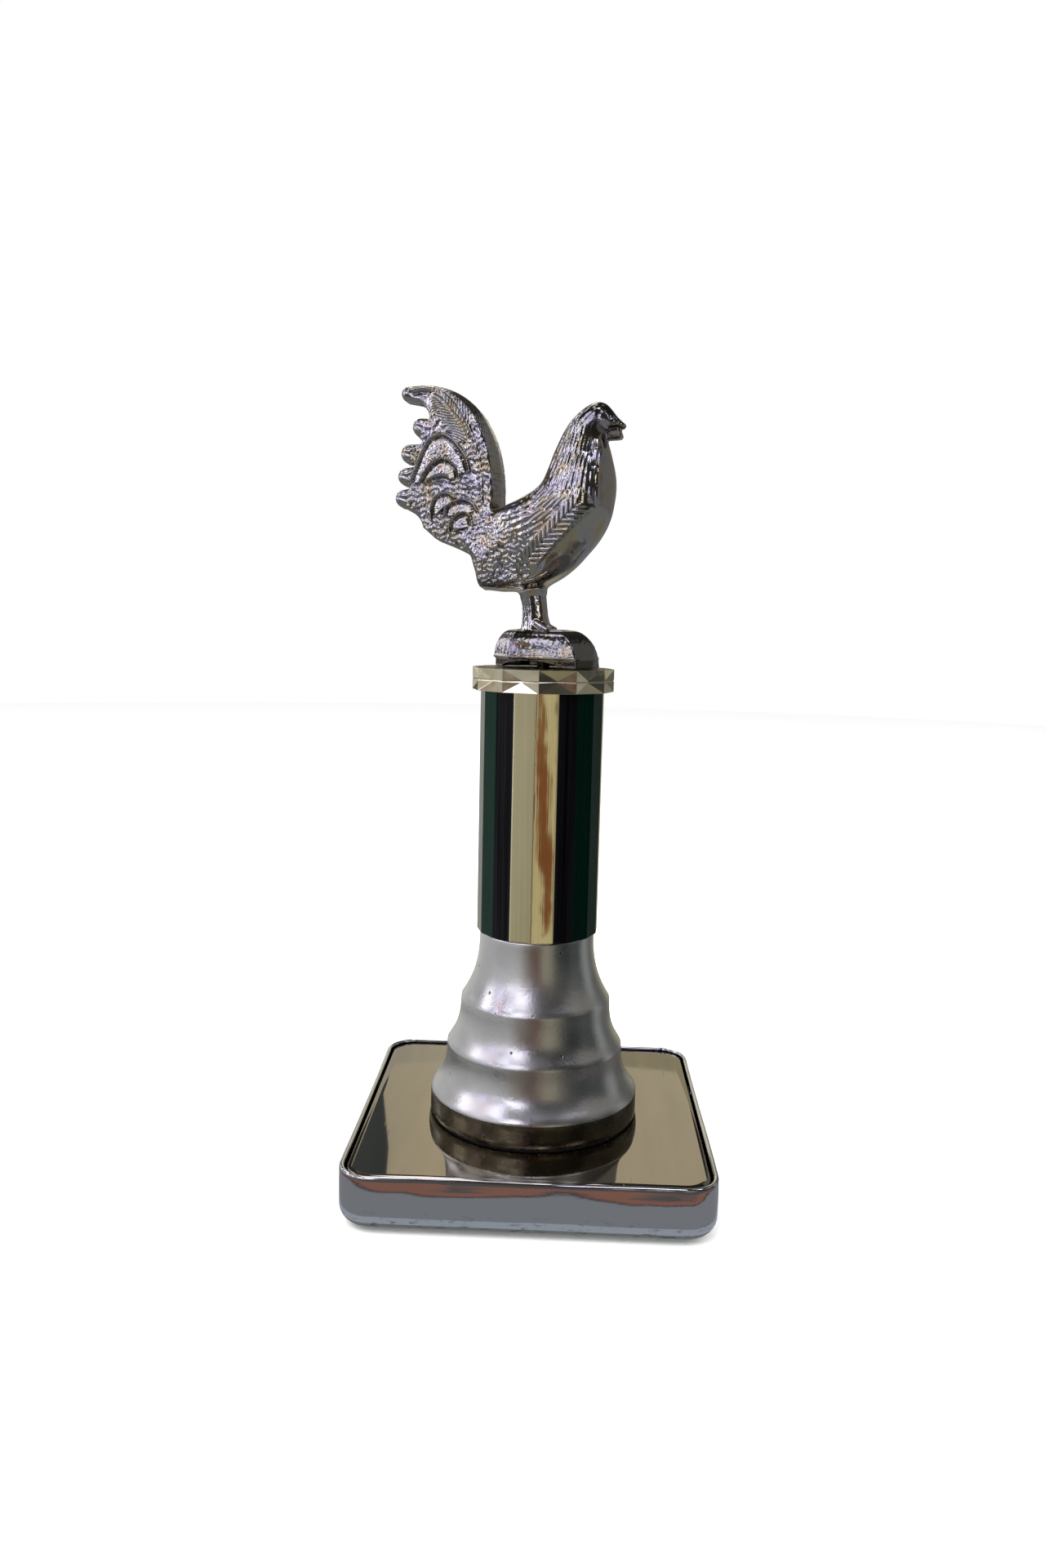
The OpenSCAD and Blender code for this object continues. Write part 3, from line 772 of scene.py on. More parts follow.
# Height, middle, half width and half depth of the legs, from the pad up
LEG_FORM = [(11, -2.6, 6.6, 6.2), (13.5, -2.9, 5.6, 5.4), (15.5, -3.3, 4.9, 4.7), (18, -3.6, 4.5, 4.3),
            (22, -4.0, 4.35, 4.2), (25, -4.6, 4.6, 4.4), (28, -5.2, 5.6, 5.0), (31, -6.0, 7.6, 6.5),
            (36, -6.0, 10, 8)]

# Web that joins the beak to the throat
WEB_OUTLINE = spline([(20, 83.6), (26, 83.4), (27, 82), (27.5, 80.4), (26.9, 79.5), (24.4, 79.3), (19, 79.6)],
                     4, True)

# Rims of the curled feathers on the tail, from the highest down
FEATHER_RIMS = [
    [(-53.4, 65.4), (-49.5, 74.5), (-46.5, 79.7), (-43.8, 82.3), (-40.3, 83.2), (-37.2, 82.6), (-34.8, 81),
     (-32.2, 78.6), (-29, 73.9), (-27.6, 69)],
    [(-49.5, 65.5), (-46.6, 69.9), (-43.2, 73), (-40, 74.5), (-37.2, 74), (-34.6, 72.8), (-32.5, 70.5),
     (-31.6, 67)],
    [(-46.8, 66), (-44.5, 67.6), (-42, 68.4), (-39.5, 68.6), (-37, 68.2), (-35, 66.6)],
    [(-43.6, 52), (-44, 57), (-42.6, 60.3), (-40.4, 61.8), (-38, 62.3), (-35.6, 61.7), (-33.4, 60.2)],
    [(-38.6, 53), (-37.5, 56.8), (-35.1, 58.6), (-33, 59.5), (-30.6, 59.7), (-28, 59.1), (-26, 57.8),
     (-24.2, 55)],
    [(-36, 47.5), (-35.8, 51), (-33.4, 53.7), (-31, 55), (-29, 55), (-27, 53.6), (-26, 50)]]


def tail_relief(s, h):
    """Heights on the tail's side faces."""
    front = spline([(-42, 99.9), (-39.3, 98.7), (-33.7, 93.6), (-29, 86.2), (-25, 77), (-23.2, 68),
                    (-22.6, 58)])
    vane = spline([(-42, 94.6), (-38.4, 88.8), (-36, 85), (-33.5, 80.5)])
    quill = spline([(-43, 97.2), (-38.9, 94.7), (-36.4, 91.9), (-33.9, 89.4), (-31.6, 86.6), (-29.6, 83),
                    (-28.2, 79)])
    to_front, _ = line_distance(s, h, front)
    to_vane, _ = line_distance(s, h, vane)
    to_quill, down_quill = line_distance(s, h, quill)
    relief = 0.42 * crease(to_front, 0.45)
    # The sickle: a raised vane each side of its quill, with curved barbs
    in_sickle = smoothstep(5.6, 4.8, to_quill) * smoothstep(-27.5, -29.5, s) * smoothstep(79, 82, h)
    in_sickle *= smoothstep(-46, -43, s)
    barbs = np.sin(2 * math.pi * (down_quill + 1.3 * to_quill) / 1.5) * smoothstep(0.3, 1, to_quill)
    sickle = 0.3 + 0.22 * barbs - 0.35 * crease(to_quill, 0.3) + 0.25 * crease(to_vane, 0.4)
    # Dabs elsewhere on the fan
    patchy = chance(np.floor(s / 5), np.floor(h / 4))
    dabs = 0.5 * bumps(s, h, 1.35) + 0.3 * bumps(s + 0.5 * h, h - 0.5 * s, 2.1) * patchy
    relief += lay(dabs, sickle, in_sickle)
    # Hook: a smooth bright line along its top and a sunk, pitted pool below
    hook = smoothstep(-43, -46, s) * smoothstep(90, 93, h)
    rib, _ = line_distance(s, h, spline([(-53.5, 99.6), (-50, 100.2), (-46.5, 99.9), (-43, 98.8)]))
    pool, _ = line_distance(s, h, spline([(-51.5, 98), (-48, 98.3), (-44, 97.3)]))
    smooth_hook = 0.35 * crease(rib, 0.55) - (0.5 + 0.2 * bumps(s, h, 1)) * crease(pool, 0.9)
    relief = lay(relief, smooth_hook, hook)
    # Curled feathers, each one a scale with a rolled rim that lies over the one above
    for rank, rim in enumerate(FEATHER_RIMS):
        line = spline(rim)
        near, along = line_distance(s, h, line)
        inside = outline_distance(s, h, line) > 0
        depth = np.where(inside, near, 0)
        rays = 0.3 * strokes(along + 40 * rank, depth, 1.15, 2.6)
        scale = 0.4 + 0.55 * crease(near, 0.45) - 0.55 * crease(depth - 1.25, 0.55) + rays
        scale += 0.25 * bumps(s + rank, h, 1.2) * smoothstep(2.5, 4, depth)
        scale += 0.5 * smoothstep(1.5, 5, depth)
        fade = smoothstep(-0.35, 0.15, np.where(inside, near, -near))
        relief = lay(relief, scale, fade)
    # Round feather tips behind: smooth, each with a short quill line
    for cs, ch in ((-49.3, 86.2), (-54, 76.6), (-55.3, 68.6), (-56.4, 60.6)):
        reach = np.hypot(s - cs, h - ch)
        on_tip = smoothstep(4.2, 3.2, reach) * smoothstep(1.5, -1.0, s - cs - 1.2)
        quill_line, _ = line_distance(s, h, [(cs - 2.2, ch + 0.8), (cs + 2.6, ch - 1.0)])
        tip = 0.25 - 0.3 * crease(quill_line, 0.35) - 0.03 * reach ** 2
        relief = lay(relief, tip, on_tip)
    return relief


def head_marks(s, h):
    """Shares of the smooth crown, the ear lobe and the mouth in the head."""
    crown = smoothstep(78, 83, h + 0.35 * (s - 20)) * smoothstep(10, 17, s)
    lobe = np.hypot((s - 22.2 + 0.12 * (h - 85.5)) / 1.75, (h - 85.5) / 3.2)
    mouth, _ = line_distance(s, h, [(23.4, 83.3), (26, 83.35), (29.2, 83.2)])
    return crown, smoothstep(1.1, 0.85, lobe), crease(mouth, 0.34)


def body_relief(s, h):
    """Heights on the body, neck and head."""
    # Hackle: strokes that fan down from above the head
    bearing, reach = np.arctan2(s - 21, 115 - h), np.hypot(s - 21, 115 - h)
    hackle = 0.5 * strokes(bearing * 36, reach, 1.25, 6.5)
    # Back and wing: long strokes that swing down and back along arcs
    swing, radius = np.arctan2(s + 16, 80 - h), np.hypot(s + 16, 80 - h)
    back = 0.5 * strokes(radius, swing * 34, 1.5, 7.5)
    saddle = 0.55 * strokes(radius + 0.7, swing * 30, 2.5, 5)
    rump = 0.4 * bumps(s, h, 1.15) + 0.25 * bumps(h, s, 1.6)
    to_back = smoothstep(16.5, 12, s) * smoothstep(64, 59, h + 0.4 * (s - 8))
    relief = lay(hackle, back, to_back)
    to_saddle = smoothstep(1, -3, s) * smoothstep(44, 47, h)
    relief = lay(relief, saddle, to_saddle)
    to_rump = smoothstep(-9, -14, s + 0.4 * (h - 46))
    to_rump = np.minimum(to_rump + smoothstep(44.5, 41, h + 0.6 * s) * smoothstep(60, 50, h), 1)
    relief = lay(relief, rump, to_rump)
    # Herringbone along the lower edge of the wing
    along, across = (s + h) * 0.7071, (s - h) * 0.7071
    off = across + 28.7
    chevron = abs(np.sin(math.pi * (along - abs(off)) / 2.35)) ** 0.8
    band = smoothstep(-3.9, -3.2, off) * smoothstep(4.2, 3.7, off) * smoothstep(23.5, 25.5, along)
    band *= smoothstep(53.5, 51, along)
    herring = 0.55 * chevron - 0.225 * crease(off, 0.25) + 0.15
    relief = lay(relief, herring, band)
    # Belly and breast: smooth, with a few fine dashes and a small leaf-shaped mark
    belly = smoothstep(3.9, 4.5, off)
    dashes = 0.07 * strokes(off, along, 1.4, 3.2) * (chance(np.floor(off / 1.4), np.floor(along / 3.2)) > 0.4)
    leaf, _ = line_distance(s, h, spline([(20.4, 54.7), (22, 56), (24.1, 55.5), (24.4, 54.2), (22.4, 52.8)]))
    dashes += 0.12 * crease(leaf, 0.25)
    relief = lay(relief, dashes, belly)
    # Smooth band down the front of the neck and up the back of it
    edge = outline_distance(s, h, BODY_OUTLINE)
    front = smoothstep(3.2, 1.6, edge) * smoothstep(12, 16, s) * smoothstep(52, 56, h)
    spine = smoothstep(2.4, 1.0, edge)
    relief *= (1 - front) * (1 - 0.8 * spine)
    # Head: smooth, with a stippled ear lobe, a ridged patch round the eye, the eye and the mouth
    crown, lobe, mouth = head_marks(s, h)
    relief *= 1 - crown
    stipple = 0.1 * np.sin(s * 9) * np.sin(h * 8 + s * 2)
    relief += lobe * (0.5 + stipple)
    patch = line_distance(s, h, [(24.1, 83.6), (25.1, 86.9), (27.6, 84.6), (24.1, 83.6)])[0]
    relief += 0.22 * crease(patch, 0.3)
    eye = np.hypot(s - 25.6, h - 85.1)
    relief += 0.3 * smoothstep(0.75, 0.3, eye) - 0.22 * crease(eye - 0.85, 0.25)
    relief -= 0.45 * mouth
    return relief


def body_section(s, h):
    """Half width of the body and radius of its edge, eased between the places where they are set."""
    form, ease_over = np.array(BODY_FORM), 5.5
    away = np.hypot(s[..., None] - form[:, 0], h[..., None] - form[:, 1])
    weight = np.exp(-(away / ease_over) ** 2 / 2) + 1e-12
    weight /= weight.sum(-1, keepdims=True)
    return weight @ form[:, 2], weight @ form[:, 3]


def leg_section(s, h):
    """Legs as one flared stalk: place across it as a share of its half width, that half width, half depth."""
    height, middle, half_wide, half_deep = np.array(LEG_FORM).T
    wide = np.interp(h, height, half_wide)
    return (s - np.interp(h, height, middle)) / wide, wide, np.interp(h, height, half_deep)


def casting_marks(s, h, shown, on_web, step):
    """How far painted shade darkens the casting, and how far its chrome is unpolished, from the relief shown.
    """
    # Where relief lies below its surroundings it gets painted shade, and where it varies the chrome is
    # unpolished.
    mean = blur(shown, round(1.1 / step))
    painted_shade = np.clip((mean - shown - 0.03) / 0.35, 0, 1)
    rough = smoothstep(0.02, 0.09, np.sqrt(blur((shown - mean) ** 2, round(1.4 / step))))
    # Painted shade under the rump.
    shade_under_rump = smoothstep(32, 30, h) * smoothstep(-7, -10, s)
    painted_shade = np.maximum(painted_shade, 0.7 * shade_under_rump)
    # The web under the beak and the crown behind the beak get even painted shade, the lobe gets none and is
    # finely stippled, and the mouth gets dark painted shade.
    crown, lobe, mouth = head_marks(s, h)
    behind_beak = smoothstep(27.4, 26.6, s)
    painted_shade = np.maximum(painted_shade, 0.92 * on_web)
    painted_shade = np.maximum(painted_shade, 0.62 * crown * behind_beak) * (1 - lobe)
    painted_shade = np.maximum(painted_shade, mouth * crown)
    return painted_shade, np.maximum(rough * (1 - on_web) * (1 - crown), lobe)


def make_bird():
    """Rooster down to its toes: body, neck, head, wattle web, tail and legs in one skin."""
    step = 0.28
    along, up = np.arange(-61.6, 30.2, step), np.arange(11.4, 103.0, step)
    half = int(13.4 / step) + 1
    across = (np.arange(2 * half) + 0.5 - half) * step
    s, h = np.meshgrid(along, up, indexing="ij")
    # Body: crowned across, its edges rounded by their own radius
    body_in, body_high = outline_distance(s, h, BODY_OUTLINE), body_relief(s, h)
    wide, edge_r = body_section(s, h)
    x = np.minimum(body_in / edge_r, 1)
    swell, body_deep = x * (2 - x), 4
    # Tail: a slab with drafted walls, engraved on its front and its top
    tail_in, tail_high = outline_distance(s, h, tail_outline()), tail_relief(s, h)
    draft, cut = 0.17, 0.16
    tail_half = 6.5 - 1.2 * smoothstep(-34, -54, s)
    tail_half += 0.8 * smoothstep(-30, -22, s) * smoothstep(62, 50, h)
    tail_round = 0.45 + 0.55 * smoothstep(-44, -52, s)
    on_front = smoothstep(-32, -28, s) * smoothstep(54, 58, h)
    on_top = smoothstep(-28, -32, s) * (h > 92)
    # Legs: three ridges on the stalk, then toes at its foot
    lean, leg_wide, leg_deep = leg_section(s, h)
    ridges = 0.28 * np.cos(lean * 6.5 + 0.6) + 0.12 * bumps(s, h, 1.3)
    toe, _ = line_distance(s, h, [(-1.8, 15.4), (0.6, 14.0), (2.4, 13.2)])
    toe_r, toe_off, toe_half, hip, sole = 1.1, 3.2, 0.8, 37, 12.2
    web_in, web_half = outline_distance(s, h, WEB_OUTLINE), 1.7
    top = BIRD_HIGH[2] - BIRD_FOOT - 0.1
    slices = []
    for a in np.abs(across[half:]):
        body = (swell - (a / wide) ** 2) * wide / 2 + body_high * smoothstep(0.3, 2.0, a)
        body = np.minimum(body, body_deep)
        graver = strokes(h + 0.9 * a, a, 1.1, 3.0) * on_front
        graver += strokes(s * 1.1 + 0.9 * a, a, 1.1, 3.0) * on_top
        wall = tail_in - draft * a + graver * cut * smoothstep(0.6, 1.4, a)
        tail = -soft_max(a - tail_half - tail_high, -wall, 2 * tail_round)
        stalk = (1 - np.hypot(lean, a / leg_deep)) * np.minimum(leg_wide, leg_deep)
        stalk = np.minimum(stalk + ridges * smoothstep(0.5, 2, a), hip - h)
        toes = toe_r - np.hypot(toe, np.maximum(abs(a - toe_off) - toe_half, 0))
        field = soft_max(soft_max(body, tail, 1.8), soft_max(stalk, toes, 0.8), 2.4)
        field = soft_max(field, np.minimum(web_in, web_half - a), 0.6)
        slices.append(np.minimum(np.minimum(field, h - sole), top - h))
    field = np.stack(slices[::-1] + slices, axis=1).astype(np.float32)
    on_web = smoothstep(0, 0.3, web_in) * smoothstep(0.3, 0, body_in)
    marks = casting_marks(s, h, np.where(tail_in > body_in, tail_high, body_high), on_web, step)

    def looked_up(grid):
        def measure(at_s, at_h):
            i = np.clip(((at_s - along[0]) / step + 0.5).astype(int), 0, len(along) - 1)
            j = np.clip(((at_h - up[0]) / step + 0.5).astype(int), 0, len(up) - 1)
            return grid[i, j]
        return measure

    names = ["rooster_tail", "rooster_rump", "rooster_back", "rooster_breast_and_head"]
    whole = cast_mesh(*skin(field, np.array([along[0], across[0], up[0]]), step))
    return cast_pieces(names, whole, *[looked_up(grid) for grid in marks])


def make_pad():
    """Foot of the casting: an octagonal hammered pad, drafted and hollow, arched in front over the stud."""
    step = 0.34
    s, y, h = np.arange(-19.6, 22, step), np.arange(-12.6, 12.8, step), np.arange(-0.7, 14.4, step)
    s, y, h = np.meshgrid(s, y, h, indexing="ij")
    corners = [(20.6, -4), (20.6, 4), (16.6, 12), (-8.6, 12), (-18.6, 4), (-18.6, -4), (-8.6, -12),
               (16.6, -12)]
    tall, slope, curl, wall, roof, bore, bore_tall = 13.2, 8.2, 2.5, 2.5, 3.4, 2.75, 9.4
    low = np.clip(h / tall, 0, 1)
    drawn_in = slope * (1 - (1 - low ** curl) ** (1 / curl))
    top = tall - 0.1 * smoothstep(6, 16, s)
    edges = []
    for (ax, ay), (bx, by) in zip(corners, np.roll(corners, -1, axis=0)):
        length = math.hypot(bx - ax, by - ay)
        edges.append(((by - ay) * (ax - s) - (bx - ax) * (ay - y)) / length)
    # The corners at the head's end are cut back further the higher they are.
    for corner in (1, 7):
        edges[corner] = edges[corner] - 3.6 * low ** 1.5
    for flank in (2, 6):
        edges[flank] = edges[flank] - 0.8 * ((s - 4) / 12.6) ** 2
    flat_in = edges[0]
    for other in edges[1:]:
        flat_in = -soft_max(-flat_in, -other, 0.35)
    arch = 1.8 * (1 - ((s + 1.5) / 12.5) ** 2) * smoothstep(-5, -8, y)
    # A narrow lip runs round it, and below the lip the side is set back.
    lip = 0.3 * crease(h - 3.1, 0.5) - 0.6 * smoothstep(2.9, 2.4, h) * smoothstep(18, 12, s)
    hammered = 0.05 * np.sin(s * 2.3 + 1.7 * np.sin(h * 1.9 + y)) * np.sin(h * 2.6 + 1.5 * np.sin(s * 1.3))
    side = flat_in - drawn_in * 0.93 - 0.3 + lip + hammered
    field = -soft_max(-side, -(top - h), 1.2)
    field = -soft_max(-field, -(h + 0.45 * smoothstep(0.3, 0, arch) - np.maximum(arch, 0.0)), 0.4)
    hollow = np.minimum(flat_in - wall, roof - h)
    rod_hole = np.minimum(bore - np.hypot(s, y), bore_tall - h)
    field = np.minimum(field, -np.maximum(hollow, rod_hole)).astype(np.float32)
    whole = cast_mesh(*skin(field, np.array([s[0, 0, 0], y[0, 0, 0], h[0, 0, 0]]), step))
    # The pad gets painted shade all over, and more of it in the set-back band below its lip.
    return cast_pieces(["rooster_pad"], whole, lambda at_s, at_h: 0.5 + 0.35 * smoothstep(2.8, 2.3, at_h),
                       lambda at_s, at_h: 0 * at_s + 1)


# ---------- Pieces and the bodies they ride on ----------

def stand_for(piece, body, slot, *nodes):
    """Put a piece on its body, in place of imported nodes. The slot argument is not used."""
    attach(piece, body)
    if nodes:
        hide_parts(*nodes)


stand_for(make_tray(), "trophy", "chromed_sheet", "tray_shell")
stand_for(make_plate(), "trophy", "dark_mirror", "mirror_plate")
stand_for(make_bell(), "trophy", "cast_aluminium", "bell_casting")
stand_for(make_column(), "trophy", "foiled_plastic", "column_tube")
stand_for(make_cap_ring("cap_lower_facets", LOWER_LOW[2], LOWER_HIGH[2], 2.8, True),
          "trophy", "gold_plastic", "cap_lower_ring")
stand_for(make_cap_ring("cap_upper_facets", UPPER_LOW[2], UPPER_HIGH[2], 7.6, False),
          "trophy", "gold_plastic", "cap_upper_ring")
stand_for(make_rod(), "trophy", "plated_rod", "tie_rod")
stand_for(make_nut("cap_lock_nut", "lock_nut"), "trophy", "plated_fastener", "lock_nut")
stand_for(make_nut("base_hex_nut", "base_nut"), "trophy", "plated_fastener", "base_nut")
for cast in make_bird() + make_pad():
    stand_for(cast, "ornament", "chromed_zinc", "rooster_figure")

for node, stock in {"bell_gasket": RUBBER, "filler_board": FIBRE_BOARD, "base_felt": FELT,
                    "lock_washer": ZINC_PLATE, "base_washer": ZINC_PLATE, "base_spring_washer": ZINC_PLATE,
                    "column_top_plug": PLUG_WOOD, "column_bottom_plug": PLUG_WOOD}.items():
    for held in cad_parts[node].material_slots:
        held.material = stock


# ---------- Studio ----------

def shine(made, colour, strength):
    """Make a material give out light instead of reflecting it."""
    tree = made.node_tree
    tree.nodes.remove(tree.nodes["Principled BSDF"])
    lit = add(tree, "ShaderNodeEmission", {"Color": colour, "Strength": strength})
    tree.links.new(lit, tree.nodes["Material Output"].inputs["Surface"])
    return lit


def glow(name, colour, strength=1.0):
    """A material of one even light."""
    made = bpy.data.materials.new(name)
    made.use_nodes = True
    shine(made, linear(colour), strength)
    return made


def only_in_gloss(piece, material):
    """Make a piece show in glossy surfaces and light nothing else."""
    piece.data.materials.append(material)
    piece.visible_camera = False
    piece.visible_diffuse = False
    piece.visible_shadow = False
    piece.visible_transmission = False


def toward(azimuth, elevation):
    """Direction from the object: azimuth 0 is the front, 90 its left side as seen from the front."""
    a, e = math.radians(azimuth), math.radians(elevation)
    return Vector((-math.sin(a) * math.cos(e), -math.cos(a) * math.cos(e), math.sin(e)))


def facing_object(azimuth, elevation, distance):
    """Place at a distance from the object's middle, turned to face it."""
    turn = toward(azimuth, elevation).to_track_quat("Z", "Y").to_matrix().to_4x4()
    return Matrix.Translation(toward(azimuth, elevation) * distance + Vector((0, 0, 0.15))) @ turn


def patch(name, corners, colour, strength):
    """A flat card between given corners, in metres."""
    made = mesh_piece(name, np.array(corners) / MM, [tuple(range(len(corners)))], smooth=False)
    only_in_gloss(made, glow(name, colour, strength))


def card(name, azimuth, elevation, width, height, colour, strength):
    """A flat card that faces the object from 1.6 m away."""
    x, y = width / 2, height / 2
    stand = facing_object(azimuth, elevation, 1.6)
    corners = [stand @ Vector(corner) for corner in ((-x, -y, 0), (x, -y, 0), (x, y, 0), (-x, y, 0))]
    patch(name, corners, colour, strength)


def seen_in(mirror_at, facing, spots, distance):
    """Places at a distance that a flat mirror shows at given spots of its face."""
    image = EYE - 2 * (EYE - Vector(mirror_at) * MM).dot(facing) * facing
    return [image + (Vector(spot) * MM - image).normalized() * distance for spot in spots]


def bearing_of(tree, at):
    """Bearing of a point round the object: 0 and 1 behind it, 0.5 in front, more on its left."""
    axes = add(tree, "ShaderNodeSeparateXYZ", {"Vector": at}).node.outputs
    left = add(tree, "ShaderNodeMath", {0: axes["X"], 1: -1.0}, operation="MULTIPLY")
    front = add(tree, "ShaderNodeMath", {0: axes["Y"], 1: -1.0}, operation="MULTIPLY")
    angle = add(tree, "ShaderNodeMath", {0: left, 1: front}, operation="ARCTAN2")
    return add(tree, "ShaderNodeMapRange", {"Value": angle, "From Min": -math.pi, "From Max": math.pi})


def make_counter():
    """What stands near the object, up to the cap's height: behind beige, a bright left side, someone brown in
    front, then a pale door and a dark right side."""
    made, tree, at = finish("things_round_the_counter")
    warp = add(tree, "ShaderNodeTexNoise", {"Vector": at, "Scale": 6, "Detail": 3}, out="Color")
    shift = add(tree, "ShaderNodeVectorMath", {0: warp, 1: (0.5, 0.5, 0.5)}, operation="SUBTRACT")
    moved = add(tree, "ShaderNodeVectorMath", {0: shift, 1: (0.05, 0.05, 0.05), 2: at},
                operation="MULTIPLY_ADD")
    walls = add(tree, "ShaderNodeValToRGB", {"Fac": bearing_of(tree, moved)},
                [(0.0, "#c9c0a4"), (0.08, "#b5ae98"), (0.11, "#6e6f6b"), (0.17, "#5c5e5c"),
                 (0.19, "#a5a8a7"), (0.22, "#a2a5a4"), (0.235, "#2c3031"), (0.3, "#56595a"),
                 (0.32, "#2d3132"), (0.39, "#3a3e40"), (0.41, "#8b8775"), (0.455, "#b3ad97"),
                 (0.47, "#3d2620"), (0.5, "#6a4034"), (0.515, "#54423a"), (0.56, "#8d8577"),
                 (0.59, "#b9baba"), (0.83, "#c0c1c1"), (0.88, "#d2d2cf"), (0.97, "#ddd6c4")])
    shine(made, walls, 1.0)
    reach, top = 470, 188
    only_in_gloss(mesh_piece("counter", *loft([circle(reach, z, turns(96)) for z in (-260, top)])), made)
    # Its top is seen only from above, in the underside of the rooster.
    board = glow("counter_top", "#8f918c")
    tree = board.node_tree
    below = add(tree, "ShaderNodeNewGeometry", out="Backfacing")
    clear = add(tree, "ShaderNodeBsdfTransparent")
    sided = add(tree, "ShaderNodeMixShader", {0: below, 1: tree.nodes["Emission"].outputs[0], 2: clear})
    tree.links.new(sided, tree.nodes["Material Output"].inputs["Surface"])
    rings = [circle(r, top - 1, turns(96)) for r in (reach, 60)]
    only_in_gloss(mesh_piece("counter_top", *loft(rings)), board)


def make_room():
    """Room above the counter, for reflections only: dim, with small bright panes on its left and overhead."""
    mesh = bpy.data.meshes.new("room")
    ball = bmesh.new()
    bmesh.ops.create_uvsphere(ball, u_segments=96, v_segments=48, radius=2.5)
    ball.to_mesh(mesh)
    ball.free()
    room = bpy.data.objects.new("room", mesh)
    bpy.context.scene.collection.objects.link(room)
    made, tree, at = finish("room_walls")
    axes = add(tree, "ShaderNodeSeparateXYZ", {"Vector": at}).node.outputs
    panes = add(tree, "ShaderNodeTexVoronoi", {"Vector": at, "Scale": 2.2}, out="Color")
    pane = add(tree, "ShaderNodeRGBToBW", {"Color": panes})
    lean = add(tree, "ShaderNodeMapRange",
               {"Value": axes["X"], "From Min": 1.4, "From Max": -1.0, "To Min": -0.3, "To Max": 0.0})
    chosen = add(tree, "ShaderNodeMath", {0: pane, 1: lean}, operation="ADD")
    upper = add(tree, "ShaderNodeValToRGB", {"Fac": chosen},
                [(0.0, "#3e3e3c"), (0.5, "#50504d"), (0.64, "#7d7568"), (0.68, "#efecf8")])
    power = add(tree, "ShaderNodeMapRange",
                {"Value": chosen, "From Min": 0.64, "From Max": 0.68, "To Min": 0.8, "To Max": 3.4})
    height = add(tree, "ShaderNodeMapRange", {"Value": axes["Z"], "From Min": -2.5, "From Max": 2.5})
    low = add(tree, "ShaderNodeValToRGB", {"Fac": height}, [(0.42, 1.0), (0.5, 0.0)])
    mixed = add(tree, "ShaderNodeMix", {"Factor": low, 6: upper, 7: linear("#7c7e7a")}, out=2,
                data_type="RGBA")
    shine(made, mixed, add(tree, "ShaderNodeMix", {"Factor": low, 2: power, 3: 1.0}))
    only_in_gloss(room, made)


def make_floor():
    """Pale tabletop, and in the gloss only, what the tray's upright flank mirrors of the table round it."""
    made, tree, at = finish("pale_tabletop")
    grain = add(tree, "ShaderNodeTexNoise", {"Vector": at, "Scale": 300, "Detail": 3})
    colour = add(tree, "ShaderNodeValToRGB", {"Fac": grain}, [(0.3, "#f4f4f3"), (0.7, "#fafafa")])
    coat(made, colour, None, None, 0.0)
    for socket, value in (("Roughness", 0.8), ("Emission Color", (1, 1, 1, 1)), ("Emission Strength", 0.07)):
        tree.nodes["Principled BSDF"].inputs[socket].default_value = value
    reach = 6000
    corners = [(-reach, -reach, 0), (reach, -reach, 0), (reach, reach, 0), (-reach, reach, 0)]
    floor = dress(mesh_piece("floor", corners, [(0, 1, 2, 3)], smooth=False), made)
    floor.visible_glossy = False
    for name, near, far, tint in (("table_near", 0, 11, "#a9afb5"), ("table_mid", 11, 37, "#8b8c8e"),
                                  ("table_edge", 37, 40, "#4a4543"), ("table_far", 40, 50, "#94695a"),
                                  ("table_back", 50, 120, "#5a5a58")):
        rings = [square_ring(TRAY_HIGH[0] + away, 12 + away, -0.3 - near / 100, 8, 6) for away in (near, far)]
        only_in_gloss(mesh_piece(name, *loft(rings)), glow(name, tint))


def soft_light(name, azimuth, elevation, size, power):
    """A round lamp 1.3 m away, which shows in no reflection."""
    data = bpy.data.lights.new(name, "AREA")
    data.shape = "DISK"
    data.size = size
    data.energy = power
    lamp = bpy.data.objects.new(name, data)
    lamp.matrix_world = facing_object(azimuth, elevation, 1.3)
    lamp.visible_glossy = False
    bpy.context.scene.collection.objects.link(lamp)


def make_camera():
    """Camera 0.42 m in front and level with the cap, tilted down and rolled slightly."""
    data = bpy.data.cameras.new("camera")
    data.sensor_fit = "VERTICAL"
    data.sensor_height = 36.0
    data.lens = 26.27
    pitch, roll, yaw = math.radians(7.98), math.radians(1.25), math.radians(2.06)
    forward = Vector((0, math.cos(pitch), -math.sin(pitch)))
    right = Vector((1, 0, 0))
    up = right.cross(forward)
    rolled_right = right * math.cos(roll) + up * math.sin(roll)
    rolled_up = up * math.cos(roll) - right * math.sin(roll)
    axes = Matrix((rolled_right, rolled_up, -forward)).transposed().to_4x4()
    place_at = Matrix.Translation((-0.0067, -0.4223, PLATE_HIGH[2] * MM + 0.1851))
    camera = bpy.data.objects.new("camera", data)
    camera.matrix_world = Matrix.Rotation(yaw, 4, "Z") @ place_at @ axes
    bpy.context.scene.collection.objects.link(camera)
    bpy.context.scene.camera = camera
    return camera.matrix_world.translation


